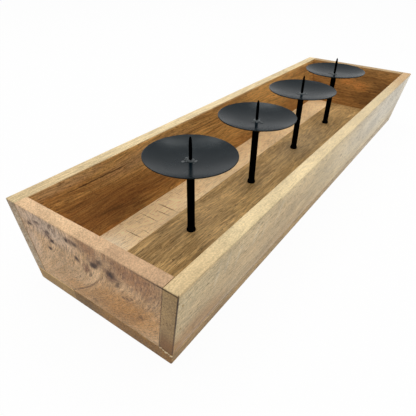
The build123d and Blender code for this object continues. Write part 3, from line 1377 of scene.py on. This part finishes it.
BACK_SIDE = WoodFinish(
    "side_wood_amber",
    STRAW,
    AMBER,
    GrainRun.LENGTHWISE,
    Face.UPRIGHT,
    7.6,
    (WALL_GOLD, LOW_SHADE, HIGH_BAND, WALL_STREAKS, SOILED_BACK, PALE_RIM, DULL_RIM),
    contrast=1.0,
    end_grain=(0.76, 0.74, 0.86, 1.0),
    fleck=0.5,
    grit=0.3,
    fibre_length=26.0,
    fibre_width=0.9,
)
FRONT_BASE = WoodFinish(
    "base_wood_olive",
    FAWN,
    OLIVE,
    GrainRun.LENGTHWISE,
    Face.LEVEL,
    9.1,
    (FLOOR_GREY, FLOOR_GOLD, FLOOR_STREAKS, NEAR_FOOT, SEAM_PATCH, FOOT_PAINTED_SHEEN, GLUE_LINE),
    contrast=0.95,
    end_grain=(0.86, 0.72, 0.52, 1.0),
    fleck=0.56,
    fibre_length=16.0,
    fibre_width=0.9,
)
BACK_BASE = WoodFinish(
    "base_wood_sand",
    DUN,
    SAND,
    GrainRun.LENGTHWISE,
    Face.LEVEL,
    11.4,
    (BLUSH, PAINTED_LIGHT_CORNER, CRACKS),
    contrast=0.3,
    cloud=0.14,
    end_grain=(0.97, 0.86, 0.63, 1.0),
    fleck=0.26,
    grit=0.14,
)

BLACK_COAT = PlainFinish(
    "satin_black",
    (0.002, 0.0062, 0.0092, 1.0),
    (0.004, 0.0092, 0.0125, 1.0),
    0.24,
    gloss=0.087,
    sheen=(0.91, 1.0, 1.0, 1.0),
)
MATT_COAT = PlainFinish(
    "matt_black", (0.0014, 0.0015, 0.0017, 1.0), (0.0026, 0.0028, 0.003, 1.0), 0.6, gloss=0.0
)
BRAZE = PlainFinish(
    "black_braze", (0.016, 0.021, 0.023, 1.0), (0.08, 0.096, 0.099, 1.0), 0.4, 0.2, speck_depth=0.03
)
ZINC = PlainFinish("zinc", (0.62, 0.62, 0.6, 1.0), (0.45, 0.45, 0.43, 1.0), 0.34, metallic=1.0)
FILLER = PlainFinish("wood_filler", paint(196, 164, 112), paint(120, 88, 56), 0.8)
GLUE = PlainFinish("dried_glue", paint(240, 222, 186), paint(208, 180, 132), 0.6)


@dataclass(frozen=True)
class WoodenTray:
    """Six sawn boards with their brads, the filler over the corner brads and the glue at one corner.

    Attributes:
        tray: Heights and planes of the tray.
        screw_places: Places of the screws along the tray.
        rim_easing: Rounding of the rim and of the sides' upright corners.
        foot_easing: Rounding of the base's lower edges and upright corners.
        joint_easing: Rounding of the edges at the joints.
        blank_overrun: Distance by which a blank reaches beyond the tray.
        bit_overrun: Distance by which a counterbore's cutter reaches out of the wood.
        near: Distance within which a point counts as lying on a plane.
        side_swelling: Size of one swelling of a side board.
        end_swelling: Size of one swelling of an end panel.
        swelling_depth: Height between a swelling's lowest and highest places.
        brad_radius: Radius of a brad's shank.
        brad_head: Radius of a brad's head.
        brad_length: Length of a brad.
        brad_head_height: Height of a brad's head.
        brad_set: Depth of a brad's head below the wood.
        brad_easing: Rounding of a brad's head.
        fit: Room round a brad in its hole.
        filler_rise: Height of the filler above the wood.
        filler_lump: Size of one lump of the filler.
        filler_lump_depth: Height between a lump's lowest and highest places.
        glue_lump: Size of one lump of the glue.
        glue_lump_depth: Height between a lump's lowest and highest places.
        glue_crease: Angle in degrees from which the glue's faces meet in a crease.
        screw_hole: Radius of a screw's hole.
        washer_room: Room round a washer in its counterbore.
        corner_brad_shares: Heights of the corner brads, as shares of the walls' height.
        side_brad_shares: Places of the sides' base brads, as shares of half the floor's length.
        glue_beads: Beads of glue on the left end.
    """

    tray: TrayFrame
    screw_places: Sequence[float]
    rim_easing: float = 0.8 * MM
    foot_easing: float = 1.0 * MM
    joint_easing: float = 0.2 * MM
    blank_overrun: float = 5.0 * MM
    bit_overrun: float = 1.0 * MM
    near: float = 0.05 * MM
    side_swelling: float = 60.0 * MM
    end_swelling: float = 45.0 * MM
    swelling_depth: float = 0.25 * MM
    brad_radius: float = 0.7 * MM
    brad_head: float = 1.1 * MM
    brad_length: float = 28.0 * MM
    brad_head_height: float = 0.8 * MM
    brad_set: float = 0.5 * MM
    brad_easing: float = 0.1 * MM
    fit: float = 0.02 * MM
    filler_rise: float = 0.05 * MM
    filler_lump: float = 0.8 * MM
    filler_lump_depth: float = 0.08 * MM
    glue_lump: float = 1.2 * MM
    glue_lump_depth: float = 0.3 * MM
    glue_crease: float = 60.0
    screw_hole: float = 2.1 * MM
    washer_room: float = 0.5 * MM
    corner_brad_shares: tuple[float, ...] = (0.4, 0.78)
    side_brad_shares: tuple[float, ...] = (-0.88, -0.3, 0.3, 0.88)
    glue_beads: tuple[Mark, ...] = (
        Mark(61.9, 12.5, 1.3, 0.45, 20),
        Mark(64.1, 11.9, 1.2, 0.5, 24),
        Mark(66.6, 11.4, 1.7, 0.85, 18),
        Mark(68.8, 10.9, 0.9, 0.4, 14),
        Mark(70.6, 10.5, 1.2, 0.7, 22),
    )

    def half_length(self, height: float) -> float:
        """Half of the outer length at a height."""
        return self.tray.half_length + height * self.tray.end_slope

    def half_width(self, height: float) -> float:
        """Half of the outer width at a height."""
        return self.tray.half_width + height * self.tray.side_slope

    def on_side(self, point: Vector) -> bool:
        """Whether a point lies on the outer plane of a side."""
        return abs(abs(point.y) - self.half_width(point.z)) < self.near

    def on_end(self, point: Vector) -> bool:
        """Whether a point lies on the outer plane of an end."""
        return abs(abs(point.x) - self.half_length(point.z)) < self.near

    def outside(self, point: Vector) -> bool:
        """Whether a point lies on the outer plane of a side or of an end."""
        return self.on_side(point) or self.on_end(point)

    def at_corner(self, point: Vector) -> bool:
        """Whether a point lies on the outer planes of both a side and an end."""
        return self.on_side(point) and self.on_end(point)

    def blank(self, name: str, low: float, high: float, cuts: Sequence[Plane]) -> Bench:
        """Saw a board out of a blank.

        Args:
            name: Name of the board.
            low: Height of its lower face.
            high: Height of its upper face.
            cuts: Planes to saw along, each with its normal towards the waste.

        Returns:
            The bench with the board on it.
        """
        reach = Vector((self.half_length(self.tray.rim), self.half_width(self.tray.rim), 0))
        reach += Vector((self.blank_overrun, self.blank_overrun, 0))
        bench = Bench.block(name, Vector((-reach.x, -reach.y, low)), Vector((reach.x, reach.y, high)))
        with bench.editing():
            for cut in cuts:
                bench.saw(cut)
            bench.close()
        return bench

    def side_board(self, name: str, side: Side) -> Bench:
        """Make a side board."""
        tray = self.tray
        point, normal = tray.side_plane(side, tray.side_wall)
        cuts = [*map(tray.end_plane, End), tray.side_plane(side), (point, -normal)]
        bench = self.blank(name, tray.floor, tray.rim, cuts)
        with bench.editing():
            bench.ease(
                lambda middle, reach: middle.z > tray.rim - self.near or self.at_corner(middle),
                self.rim_easing,
                segments=3,
            )
            bench.ease(
                lambda middle, reach: middle.z < tray.floor + self.near and self.outside(middle),
                self.joint_easing,
                segments=1,
            )
            bench.divide(Axis.X, cuts=90, least=0.3)
            bench.divide(Axis.Z, cuts=8, least=0.03)
        bench.ripple(self.side_swelling, self.swelling_depth)
        return bench

    def end_panel(self, name: str, end: End) -> Bench:
        """Make an end panel."""
        tray = self.tray
        point, normal = tray.end_plane(end, tray.end_wall)
        walls = [tray.side_plane(side, tray.side_wall) for side in Side]
        bench = self.blank(name, tray.floor, tray.rim, [tray.end_plane(end), (point, -normal), *walls])
        with bench.editing():
            bench.ease(
                lambda middle, reach: middle.z > tray.rim - self.near and abs(reach.y) > abs(reach.x),
                self.rim_easing,
                segments=3,
            )
            bench.ease(
                lambda middle, reach: self.on_end(middle) and middle.z < tray.rim - 5 * self.rim_easing,
                self.joint_easing,
                segments=1,
            )
            bench.divide(Axis.Y, cuts=30, least=0.08)
            bench.divide(Axis.Z, cuts=10, least=0.03)
        bench.ripple(self.end_swelling, self.swelling_depth)
        return bench

    def base_board(self, name: str, side: Side) -> Bench:
        """Make the base board on one side of the seam."""
        tray = self.tray
        seam = (Vector((0, tray.seam, 0)), Vector((0, -side, 0)))
        cuts = [*map(tray.end_plane, End), tray.side_plane(side), seam]
        bench = self.blank(name, 0.0, tray.floor, cuts)
        with bench.editing():
            bench.ease(
                lambda middle, reach: self.at_corner(middle)
                or (middle.z < self.near and self.outside(middle)),
                self.foot_easing,
                segments=3,
            )
            bench.ease(
                lambda middle, reach: middle.z > tray.floor - self.near,
                self.joint_easing,
                segments=1,
            )
            bench.divide(Axis.X, cuts=90, least=0.3)
            bench.divide(Axis.Y, cuts=8, least=0.03)
        return bench

    def corner_brad_places(self) -> list[Matrix]:
        """Places of the brads through the side boards, with Z out of the wood."""
        places = []
        for side in Side:
            outward = self.tray.side_plane(side)[1]
            turn = outward.to_track_quat("Z", "Y").to_matrix().to_4x4()
            for share in self.corner_brad_shares:
                height = self.tray.floor + share * (self.tray.rim - self.tray.floor)
                reach = self.half_length(height) - self.tray.end_wall / 2
                places += [
                    Matrix.Translation((end * reach, side * self.half_width(height), height)) @ turn
                    for end in End
                ]
        return places

    def base_brad_places(self) -> list[Matrix]:
        """Places of the brads up through the base, with Z out of the wood."""
        tray = self.tray
        grip = (tray.floor + self.brad_set + self.brad_length) / 2
        side_reach = self.half_width(grip) - tray.side_wall / 2
        end_reach = self.half_length(grip) - tray.end_wall / 2
        floor_reach = self.half_length(tray.floor) - tray.end_wall
        spots = []
        for side in Side:
            spots += [(share * floor_reach, side * side_reach) for share in self.side_brad_shares]
            board_middle = (tray.seam + side * tray.half_width) / 2
            spots += [(end * end_reach, board_middle) for end in End]
        turn = Matrix.Rotation(math.pi, 4, "X")
        return [Matrix.Translation((x, y, 0)) @ turn for x, y in spots]

    def drills(self) -> list[Bench]:
        """Make the cutters for the brads' holes and the screws' counterbores."""
        head, shank, proud = self.brad_head + self.fit, self.brad_radius + self.fit, self.brad_set
        step = -self.brad_set - self.brad_head_height
        foot = -self.brad_set - self.brad_length - self.fit
        bit = Bench.turned(
            "brad_bit",
            [(0, proud), (head, proud), (head, step), (shank, step), (shank, foot), (0, foot)],
            steps=16,
        )
        brad_bits = bit.copied("brad_bits", self.corner_brad_places() + self.base_brad_places())
        bit.discard()
        low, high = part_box("washers")
        bore, hole = (high.y - low.y) / 2 + self.washer_room, self.screw_hole
        top, bottom = self.tray.floor + self.bit_overrun, -self.bit_overrun
        cutter = Bench.turned(
            "counterbore_bit",
            [(0, bottom), (bore, bottom), (bore, high.z), (hole, high.z), (hole, top), (0, top)],
            steps=40,
        )
        counterbores = cutter.copied(
            "counterbore_bits", [Matrix.Translation((place, 0, 0)) for place in self.screw_places]
        )
        cutter.discard()
        return [brad_bits, counterbores]

    def brads(self) -> None:
        """Make the brads."""
        head, shank, top, ease = self.brad_head, self.brad_radius, -self.brad_set, self.brad_easing
        neck, tip = top - self.brad_head_height, top - self.brad_length
        brad = Bench.turned(
            "brad",
            [
                (0, tip),
                (shank, tip + 2 * shank),
                (shank, neck - shank / 2),
                (head, neck + 2 * ease),
                (head, top - ease),
                (0.9 * head, top),
                (0.4 * head, top),
                (0, top - 2 * ease),
            ],
            steps=16,
        )
        zinc = ZINC.material()
        nailed = {"corner_brads": self.corner_brad_places(), "base_brads": self.base_brad_places()}
        for name, places in nailed.items():
            nails = brad.copied(f"{name}_set", places)
            nails.smooth()
            nails.hand_over(zinc, TRAY_BODY, "plain_steel", [name])
        brad.discard()

    def filler(self) -> None:
        """Make the dabs of filler over the brads in the sides."""
        head, top, rise = self.brad_head, -self.brad_set, self.filler_rise
        dab = Bench.turned(
            "dab",
            [(0, top), (head, top), (head, -rise), (0.8 * head, 0.6 * rise), (0.4 * head, rise), (0, rise)],
            steps=16,
        )
        dabs = dab.copied("filler_dabs", self.corner_brad_places())
        dab.discard()
        dabs.ripple(self.filler_lump, self.filler_lump_depth)
        dabs.smooth()
        dabs.hand_over(FILLER.material(), TRAY_BODY, "side_wood")

    def glue(self) -> None:
        """Make the beads of glue that were squeezed out of the joint at one corner."""
        outward = self.tray.end_plane(End.LEFT)[1]
        lay = outward.to_track_quat("Z", "Y").to_matrix().to_4x4()
        places = []
        for bead in self.glue_beads:
            height = bead.height * MM
            spot = Matrix.Translation((-self.half_length(height), -bead.place * MM, height))
            turned = Matrix.Rotation(math.radians(bead.turn), 4, "Z")
            drawn_out = Matrix.Diagonal((bead.length, bead.width, bead.width, 1.0))
            places.append(spot @ lay @ turned @ drawn_out)
        outline = ((0.0, -0.3), (1.0, -0.3), (1.0, 0.0), (0.85, 0.4), (0.5, 0.62), (0.0, 0.7))
        drop = Bench.turned("drop", drawn(outline, (0.0, 0.0), (MM, MM)), steps=24)
        beads = drop.copied("glue_beads", places)
        drop.discard()
        beads.ripple(self.glue_lump, self.glue_lump_depth)
        beads.smooth(self.glue_crease)
        beads.hand_over(GLUE.material(), TRAY_BODY, "side_wood")

    def build(self) -> None:
        """Make, drill and dress every board, then nail them."""
        boards = (
            (self.side_board("sawn_front_side", Side.FRONT), FRONT_SIDE, "side_wood", "front_side_board"),
            (self.side_board("sawn_back_side", Side.BACK), BACK_SIDE, "side_wood", "back_side_board"),
            (self.end_panel("sawn_left_end", End.LEFT), LEFT_END, "end_wood", "left_end_panel"),
            (self.end_panel("sawn_right_end", End.RIGHT), RIGHT_END, "end_wood", "right_end_panel"),
            (self.base_board("sawn_front_base", Side.FRONT), FRONT_BASE, "base_wood", "front_base_board"),
            (self.base_board("sawn_back_base", Side.BACK), BACK_BASE, "pale_base_wood", "back_base_board"),
        )
        drills = self.drills()
        for bench, finish, slot, node in boards:
            for drill in drills:
                bench.drill(drill)
            bench.smooth()
            bench.hand_over(finish.material(self.tray), TRAY_BODY, slot, [node])
        for drill in drills:
            drill.discard()
        self.brads()
        self.filler()
        self.glue()


@dataclass(frozen=True)
class CandleStands:
    """The row of stands, each piece modelled once and copied to its places.

    Attributes:
        numbers: Numbers of the stands, from the left end.
        turns: Turn of each stand about its stem, in radians.
        bore: Radius of the stem's bore for the screw.
        bore_depth: Depth of that bore.
        tang_room: Room below the spike's tang in the stem.
        fit: Room round the spike and round the stem.
        stem_easing: Rounding of the stem's edges.
        stem_rises: Number of steps up the stem.
        plate_thickness: Thickness of the plate.
        plate_land: Radius of the plate's flat middle.
        plate_easing: Rounding of the plate's rim.
        plate_rings: Number of steps across the dish.
        plate_swelling: Size of one swelling of the plate.
        plate_swelling_depth: Height between a swelling's lowest and highest places.
        point_length: Length of the spike's point.
        spike_easing: Rounding of the tang's edge.
        braze_bite: Depth by which the braze lies in the spike.
        braze_sink: Depth by which the braze lies in the plate.
        braze_lump: Size of one lump of the braze.
        braze_lump_depth: Height between a lump's lowest and highest places.
        drops: Number of drops round the braze.
        drop_radius: Radius of a drop's foot.
        drop_turn: Turn from one drop to the next, in radians.
        drop_reach: Distance of the nearest drops from the spike.
        drop_step: Distance between the rings of drops.
        patch_place: Place of the largest drop.
    """

    numbers: Sequence[int]
    turns: tuple[float, ...] = (0.0, 1.9, 4.1, 5.3)
    bore: float = 2.05 * MM
    bore_depth: float = 9.0 * MM
    tang_room: float = 0.5 * MM
    fit: float = 0.02 * MM
    stem_easing: float = 0.25 * MM
    stem_rises: int = 12
    plate_thickness: float = 1.1 * MM
    plate_land: float = 4.6 * MM
    plate_easing: float = 0.35 * MM
    plate_rings: int = 18
    plate_swelling: float = 26.0 * MM
    plate_swelling_depth: float = 0.3 * MM
    point_length: float = 9.0 * MM
    spike_easing: float = 0.2 * MM
    braze_bite: float = 0.05 * MM
    braze_sink: float = 0.25 * MM
    braze_lump: float = 1.8 * MM
    braze_lump_depth: float = 0.5 * MM
    drops: int = 14
    drop_radius: float = 1.5 * MM
    drop_turn: float = 2.4
    drop_reach: float = 3.3 * MM
    drop_step: float = 0.75 * MM
    patch_place: tuple[float, float, float] = (-5.6 * MM, 3.4 * MM, 0.1 * MM)

    @staticmethod
    def place(number: int) -> float:
        """Place of a stand along the tray."""
        low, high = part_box(f"stem_{number}")
        return (low.x + high.x) / 2

    @staticmethod
    def turned_size(node: str) -> tuple[float, float, float]:
        """Radius, lowest and highest height of a turned solid."""
        low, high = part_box(node)
        return (high.y - low.y) / 2, low.z, high.z

    def stem(self) -> Bench:
        """Make the rod with a bore at each end."""
        radius, low, high = self.turned_size("stem_1")
        spike_radius, spike_foot, _ = self.turned_size("spike_1")
        socket, tang = spike_radius + self.fit, spike_foot - self.tang_room
        bore, ease = self.bore, self.stem_easing
        step = (high - low - 2 * ease) / self.stem_rises
        return Bench.turned(
            "stem",
            [
                (0, low + self.bore_depth),
                (bore, low + self.bore_depth),
                (bore, low + ease),
                (bore + ease, low),
                (radius - ease, low),
                *((radius, low + ease + step * rise) for rise in range(self.stem_rises + 1)),
                (radius - ease, high),
                (socket, high),
                (socket, tang),
                (0, tang),
            ],
            steps=40,
        )

    def collar(self) -> Bench:
        """Make the collar with its sloping shoulder and rounded foot."""
        radius, low, high = self.turned_size("foot_collar_1")
        bore = self.turned_size("stem_1")[0] + self.fit
        foot = ((0.0, 0.0), (0.55, 0.0), (0.85, 0.06), (1.0, 0.18))
        shoulder = ((1.0, 0.42), (0.88, 0.62), (0.5, 0.85), (0.15, 1.0))
        ring = drawn(foot + shoulder, (bore, low), (radius - bore, high - low))
        return Bench.turned("collar", [*ring, (bore, high), (bore, low)], steps=40)

    def dish(self, radius: float) -> float:
        """Rise of the dished plate at a radius."""
        rim, low, high = self.turned_size("candle_plate_1")
        depth = high - low - self.plate_thickness
        reach = rim - self.plate_land
        bend = (reach**2 + depth**2) / (2 * depth)
        out = max(0.0, radius - self.plate_land)
        return bend - math.sqrt(bend**2 - out**2)

    def plate(self) -> Bench:
        """Make the spun plate, with its rim rounded and its dish a little uneven."""
        rim, low, high = self.turned_size("candle_plate_1")
        hole = self.turned_size("spike_1")[0] + self.fit
        ease, thick, land, rings = self.plate_easing, self.plate_thickness, self.plate_land, self.plate_rings
        radii = [land + (rim - ease - land) * ring / rings for ring in range(rings + 1)]
        under = [(radius, low + self.dish(radius)) for radius in radii]
        over = [(radius, low + thick + self.dish(radius)) for radius in reversed(radii)]
        edge = [(rim, high - thick + ease), (rim, high - ease)]
        profile = [(hole, low), *under, *edge, *over, (hole, low + thick), (hole, low)]
        bench = Bench.turned("plate", profile, steps=144)
        bench.ripple(self.plate_swelling, self.plate_swelling_depth)
        return bench

    def spike(self) -> Bench:
        """Make the nail-like spike with its drawn-out point."""
        radius, low, high = self.turned_size("spike_1")
        start, ease = high - self.point_length, self.spike_easing
        shaft = [(0, low), (radius - ease, low), (radius, low + ease), (radius, (low + start) / 2)]
        outline = ((1.0, 0.0), (0.97, 0.3), (0.86, 0.6), (0.62, 0.85), (0.36, 0.96), (0.0, 1.0))
        point = drawn(outline, (0.0, start), (radius, self.point_length))
        return Bench.turned("spike", shaft + point, steps=24)

    def spatter(self, foot: float, low: float) -> Bench:
        """Make the drops of braze round the ring.

        Args:
            foot: Height of the drops' feet, in the plate.
            low: Height of the plate's face.

        Returns:
            The bench with all the drops on it.
        """
        outline = ((1.3, 0.2), (0.6, 0.42), (0.0, 0.45))
        profile = [(0, foot), (self.drop_radius, foot), *drawn(outline, (0.0, low), (MM, MM))]
        drop = Bench.turned("splash", profile, steps=20)
        spots = [
            Matrix.Rotation(self.drop_turn * count, 4, "Z")
            @ Matrix.Translation((self.drop_reach + self.drop_step * (count % 4), 0, 0))
            @ Matrix.Diagonal((0.6 + 0.22 * (count % 3), 1.0 - 0.2 * (count % 2), 1.0, 1.0))
            for count in range(self.drops)
        ]
        patch = Matrix.Translation(self.patch_place) @ Matrix.Diagonal((1.4, 1.0, 1.0, 1.0))
        drops = drop.copied("drops", [*spots, patch])
        drop.discard()
        return drops

    def bead(self) -> Bench:
        """Make the lumpy ring of braze, with the drops beside it."""
        radius, low, high = self.turned_size("braze_bead_1")
        inner = self.turned_size("spike_1")[0] - self.braze_bite
        foot = low - self.braze_sink
        outline = ((1.0, 0.1), (0.9, 0.4), (0.72, 0.66), (0.5, 0.8), (0.3, 0.9), (0.12, 1.0), (0.0, 1.0))
        ring = drawn(outline, (inner, low), (radius - inner, high - low))
        bench = Bench.turned("bead", [(inner, foot), (radius, foot), *ring, (inner, foot)], steps=44)
        bench.fuse(self.spatter(foot, low))
        bench.ripple(self.braze_lump, self.braze_lump_depth)
        return bench

    def build(self) -> None:
        """Make each piece once and copy it to every stand."""
        satin, matt, braze = BLACK_COAT.material(), MATT_COAT.material(), BRAZE.material()
        pieces = (
            ("stem", "drawn_stem", self.stem, matt),
            ("foot_collar", "pressed_collar", self.collar, matt),
            ("candle_plate", "spun_plate", self.plate, satin),
            ("spike", "pointed_spike", self.spike, matt),
            ("braze_bead", "braze_ring", self.bead, braze),
        )
        for node, look, make, coat in pieces:
            master = make()
            master.smooth()
            for number, turn in zip(self.numbers, self.turns):
                spot = Matrix.Translation((self.place(number), 0, 0)) @ Matrix.Rotation(turn, 4, "Z")
                piece = master.copied(f"{look}_{number}", [spot])
                piece.hand_over(coat, f"stand_{number}", "black_steel", [f"{node}_{number}"])
            master.discard()


@dataclass(frozen=True)
class Fixings:
    """Machine screws with their threads, and the washers under their heads.

    Attributes:
        stands: Stands that the screws hold.
        turn: Turn from one screw's slot to the next, in radians.
        pitch: Rise of the thread in one turn.
        root: Radius of the shank between the turns.
        crest: Radius of the thread.
        bite: Depth by which the thread lies in the shank.
        plain_foot: Length of plain shank below the thread.
        plain_end: Length of plain shank above it.
        end_easing: Chamfer of the shank's end.
        slot_width: Width of each arm of the cross slot.
        slot_length: Length of each arm.
        slot_depth: Depth of the slot.
        slot_overrun: Distance by which the slot's cutter reaches out of the head.
        washer_hole: Radius of the washer's hole.
        washer_easing: Chamfer of the washer's edges.
    """

    stands: CandleStands
    turn: float = 0.7
    pitch: float = 0.7 * MM
    root: float = 1.64 * MM
    crest: float = 2.0 * MM
    bite: float = 0.08 * MM
    plain_foot: float = 1.2 * MM
    plain_end: float = 0.7 * MM
    end_easing: float = 0.6 * MM
    slot_width: float = 1.1 * MM
    slot_length: float = 4.6 * MM
    slot_depth: float = 1.6 * MM
    slot_overrun: float = 1.0 * MM
    washer_hole: float = 2.15 * MM
    washer_easing: float = 0.12 * MM

    def thread(self, low: float, high: float) -> Bench:
        """Make the raised thread as one closed coil.

        Args:
            low: Height of the first turn.
            high: Height of the last turn.

        Returns:
            The bench with the coil on it.
        """
        root, crest = self.root - self.bite, self.crest
        flank = ((root, 0.03), (crest, 0.43), (crest, 0.57), (root, 0.97), (root, 0.03))
        bench = Bench.traced("thread", [(radius, low + up * self.pitch) for radius, up in flank])
        bench.modify(
            "SCREW",
            angle=2 * math.pi,
            screw_offset=self.pitch,
            iterations=int((high - low) / self.pitch) - 1,
            steps=20,
            render_steps=20,
        )
        with bench.editing():
            bpy.ops.mesh.fill_holes(sides=8)
            bench.close()
        return bench

    def screw(self) -> Bench:
        """Make one screw, head down, with a cross slot and a raised thread."""
        head, low, high = CandleStands.turned_size("fixing_screw_1")
        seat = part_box("washers")[0].z
        root, ease = self.root, self.end_easing
        outline = ((0.0, 0.0), (0.6, 0.0), (0.8, 0.08), (0.95, 0.32), (1.0, 0.62), (1.0, 0.93), (0.97, 1.0))
        cap = drawn(outline, (0.0, low), (head, seat - low))
        shank = [(root, seat), (root, high - ease), (root - ease, high), (0, high)]
        bench = Bench.turned("screw", cap + shank, steps=40)
        arm = (self.slot_length / 2, self.slot_width / 2)
        bottom, top = low - self.slot_overrun, low + self.slot_depth
        for x, y in (arm, arm[::-1]):
            slot = Bench.block("slot", Vector((-x, -y, bottom)), Vector((x, y, top)))
            bench.drill(slot)
            slot.discard()
        bench.fuse(self.thread(seat + self.plain_foot, high - self.plain_end))
        return bench

    def washer(self) -> Bench:
        """Make one washer with its edges broken."""
        low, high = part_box("washers")
        rim, hole, ease = (high.y - low.y) / 2, self.washer_hole, self.washer_easing
        ring = [
            (hole, low.z + ease),
            (hole + ease, low.z),
            (rim - ease, low.z),
            (rim, low.z + ease),
            (rim, high.z - ease),
            (rim - ease, high.z),
            (hole + ease, high.z),
            (hole, high.z - ease),
        ]
        return Bench.turned("washer", [*ring, ring[0]], steps=48)

    def build(self) -> None:
        """Make the screws and the washers."""
        zinc = ZINC.material()
        spots = {n: Matrix.Translation((self.stands.place(n), 0, 0)) for n in self.stands.numbers}
        master = self.screw()
        master.smooth()
        for number, spot in spots.items():
            turn = Matrix.Rotation(self.turn * number, 4, "Z")
            piece = master.copied(f"machine_screw_{number}", [spot @ turn])
            piece.hand_over(zinc, f"screw_{number}", "plain_steel", [f"fixing_screw_{number}"])
        master.discard()
        washer = self.washer()
        washers = washer.copied("stamped_washers", list(spots.values()))
        washer.discard()
        washers.smooth()
        washers.hand_over(zinc, TRAY_BODY, "plain_steel", ["washers"])


@dataclass(frozen=True)
class Lamp:
    """One soft rectangular lamp.

    Attributes:
        name: Name of the lamp.
        place: Where it hangs.
        aim: Point that it faces.
        size: Length of its sides.
        power: Power in watts.
        spread: Share of the power that lights the surfaces.
        gleam: Share of the power that shows in the gloss.
    """

    name: str
    place: tuple[float, float, float]
    aim: tuple[float, float, float]
    size: float
    power: float
    spread: float = 1.0
    gleam: float = 1.0


@dataclass(frozen=True)
class Studio:
    """Camera, lamps, floor and white surroundings.

    Attributes:
        eye: Place of the camera.
        azimuth: Direction of the camera round the holder.
        elevation: Angle of the camera above the horizon.
        roll: Turn of the camera about its line of sight.
        lens: Focal length in millimetres.
        sensor: Width of the sensor in millimetres.
        lamps: The lamps.
        sky: Strength of the surroundings as light.
        floor_size: Length of the floor's sides.
        floor_white: Share of the floor that is plain white to the camera, and not lit.
    """

    eye: tuple[float, float, float] = (-0.39065, -0.17682, 0.23264)
    azimuth: float = math.radians(-55.257)
    elevation: float = math.radians(34.167)
    roll: float = math.radians(1.169)
    lens: float = 33.604
    sensor: float = 36.0
    lamps: tuple[Lamp, ...] = (
        Lamp("overhead_lamp", (0.0, -0.1, 1.6), (0.0, 0.0, 0.05), 2.0, 17.0, gleam=0.0),
        Lamp("left_window", (0.5, 0.785, 1.33), (0.0, 0.0, 0.05), 0.22, 1.2, 0.1),
        Lamp("right_window", (0.76, 0.51, 1.32), (0.0, 0.0, 0.05), 0.22, 1.2, 0.1),
    )
    sky: float = 0.44
    floor_size: float = 8.0
    floor_white: float = 0.96

    def camera(self) -> None:
        """Set the camera at the viewing angle."""
        back = Vector(
            (
                math.sin(self.azimuth) * math.cos(self.elevation),
                -math.cos(self.azimuth) * math.cos(self.elevation),
                math.sin(self.elevation),
            )
        )
        level = Vector((math.cos(self.azimuth), math.sin(self.azimuth), 0))
        upward = back.cross(level)
        right = level * math.cos(self.roll) + upward * math.sin(self.roll)
        up = back.cross(right)
        data = bpy.data.cameras.new("camera")
        data.lens = self.lens
        data.sensor_width = self.sensor
        data.clip_start = 0.01
        camera = bpy.data.objects.new("camera", data)
        turn = Matrix((right, up, back)).transposed().to_4x4()
        camera.matrix_world = Matrix.Translation(self.eye) @ turn
        bpy.context.collection.objects.link(camera)
        bpy.context.scene.camera = camera

    def lights(self) -> None:
        """Hang the lamps."""
        for lamp in self.lamps:
            data = bpy.data.lights.new(lamp.name, "AREA")
            data.size = lamp.size
            data.energy = lamp.power
            data.diffuse_factor = lamp.spread
            data.specular_factor = lamp.gleam
            obj = bpy.data.objects.new(lamp.name, data)
            obj.location = lamp.place
            obj.rotation_euler = (Vector(lamp.aim) - Vector(lamp.place)).to_track_quat("-Z", "Y").to_euler()
            bpy.context.collection.objects.link(obj)

    @staticmethod
    def seen(shader: Shader) -> Value:
        """1 for rays from the camera, from gloss and through glass, and 0 for light."""
        path = shader.add("ShaderNodeLightPath").outputs
        names = ("Is Camera Ray", "Is Glossy Ray", "Is Transmission Ray")
        camera, gloss, glass = (Value(shader, path[name]) for name in names)
        return camera.most(gloss).most(glass)

    def surroundings(self) -> None:
        """Make the white surroundings."""
        world = bpy.data.worlds.new("white_room")
        world.use_nodes = True
        bpy.context.scene.world = world
        shader = Shader(world.node_tree)
        strength = self.seen(shader) * (1.0 - self.sky) + self.sky
        glow = shader.add("ShaderNodeBackground", None, {"Color": (1, 1, 1, 1), "Strength": strength})
        shader.add("ShaderNodeOutputWorld", None, {"Surface": glow.outputs[0]})

    def floor(self) -> None:
        """Lay the pale floor, which keeps a soft shadow and can be looked through from below."""
        bpy.ops.object.select_all(action="DESELECT")
        bpy.ops.mesh.primitive_plane_add(size=self.floor_size)
        floor = bpy.context.active_object
        floor.name = "floor"
        shader, material = Shader.of_material("pale_floor")
        paper = shader.add("ShaderNodeBsdfDiffuse", None, {"Color": (0.9, 0.9, 0.9, 1)})
        white = shader.add("ShaderNodeEmission", None, {"Color": (1, 1, 1, 1), "Strength": 1.0})
        top = shader.add(
            "ShaderNodeMixShader",
            None,
            {0: self.seen(shader) * self.floor_white, 1: paper.outputs[0], 2: white.outputs[0]},
        )
        under = shader.add("ShaderNodeBsdfTransparent")
        side = shader.add("ShaderNodeNewGeometry").outputs["Backfacing"]
        both = shader.add("ShaderNodeMixShader", None, {0: side, 1: top.outputs[0], 2: under.outputs[0]})
        shader.add("ShaderNodeOutputMaterial", None, {"Surface": both.outputs[0]})
        floor.data.materials.append(material)

    def build(self) -> None:
        """Set everything round the holder."""
        self.camera()
        self.lights()
        self.surroundings()
        self.floor()
        bpy.context.scene.view_settings.view_transform = "Standard"


def main() -> None:
    """Build the holder's pieces and the studio."""
    logging.basicConfig(level=logging.INFO, format="%(message)s")
    bodies = frame["bodies"]
    stands = CandleStands([number for number in range(1, len(bodies)) if f"stand_{number}" in bodies])
    places = [stands.place(number) for number in stands.numbers]
    for builder in (WoodenTray(TrayFrame(), places), stands, Fixings(stands), Studio()):
        builder.build()


if __name__ == "__main__":
    main()
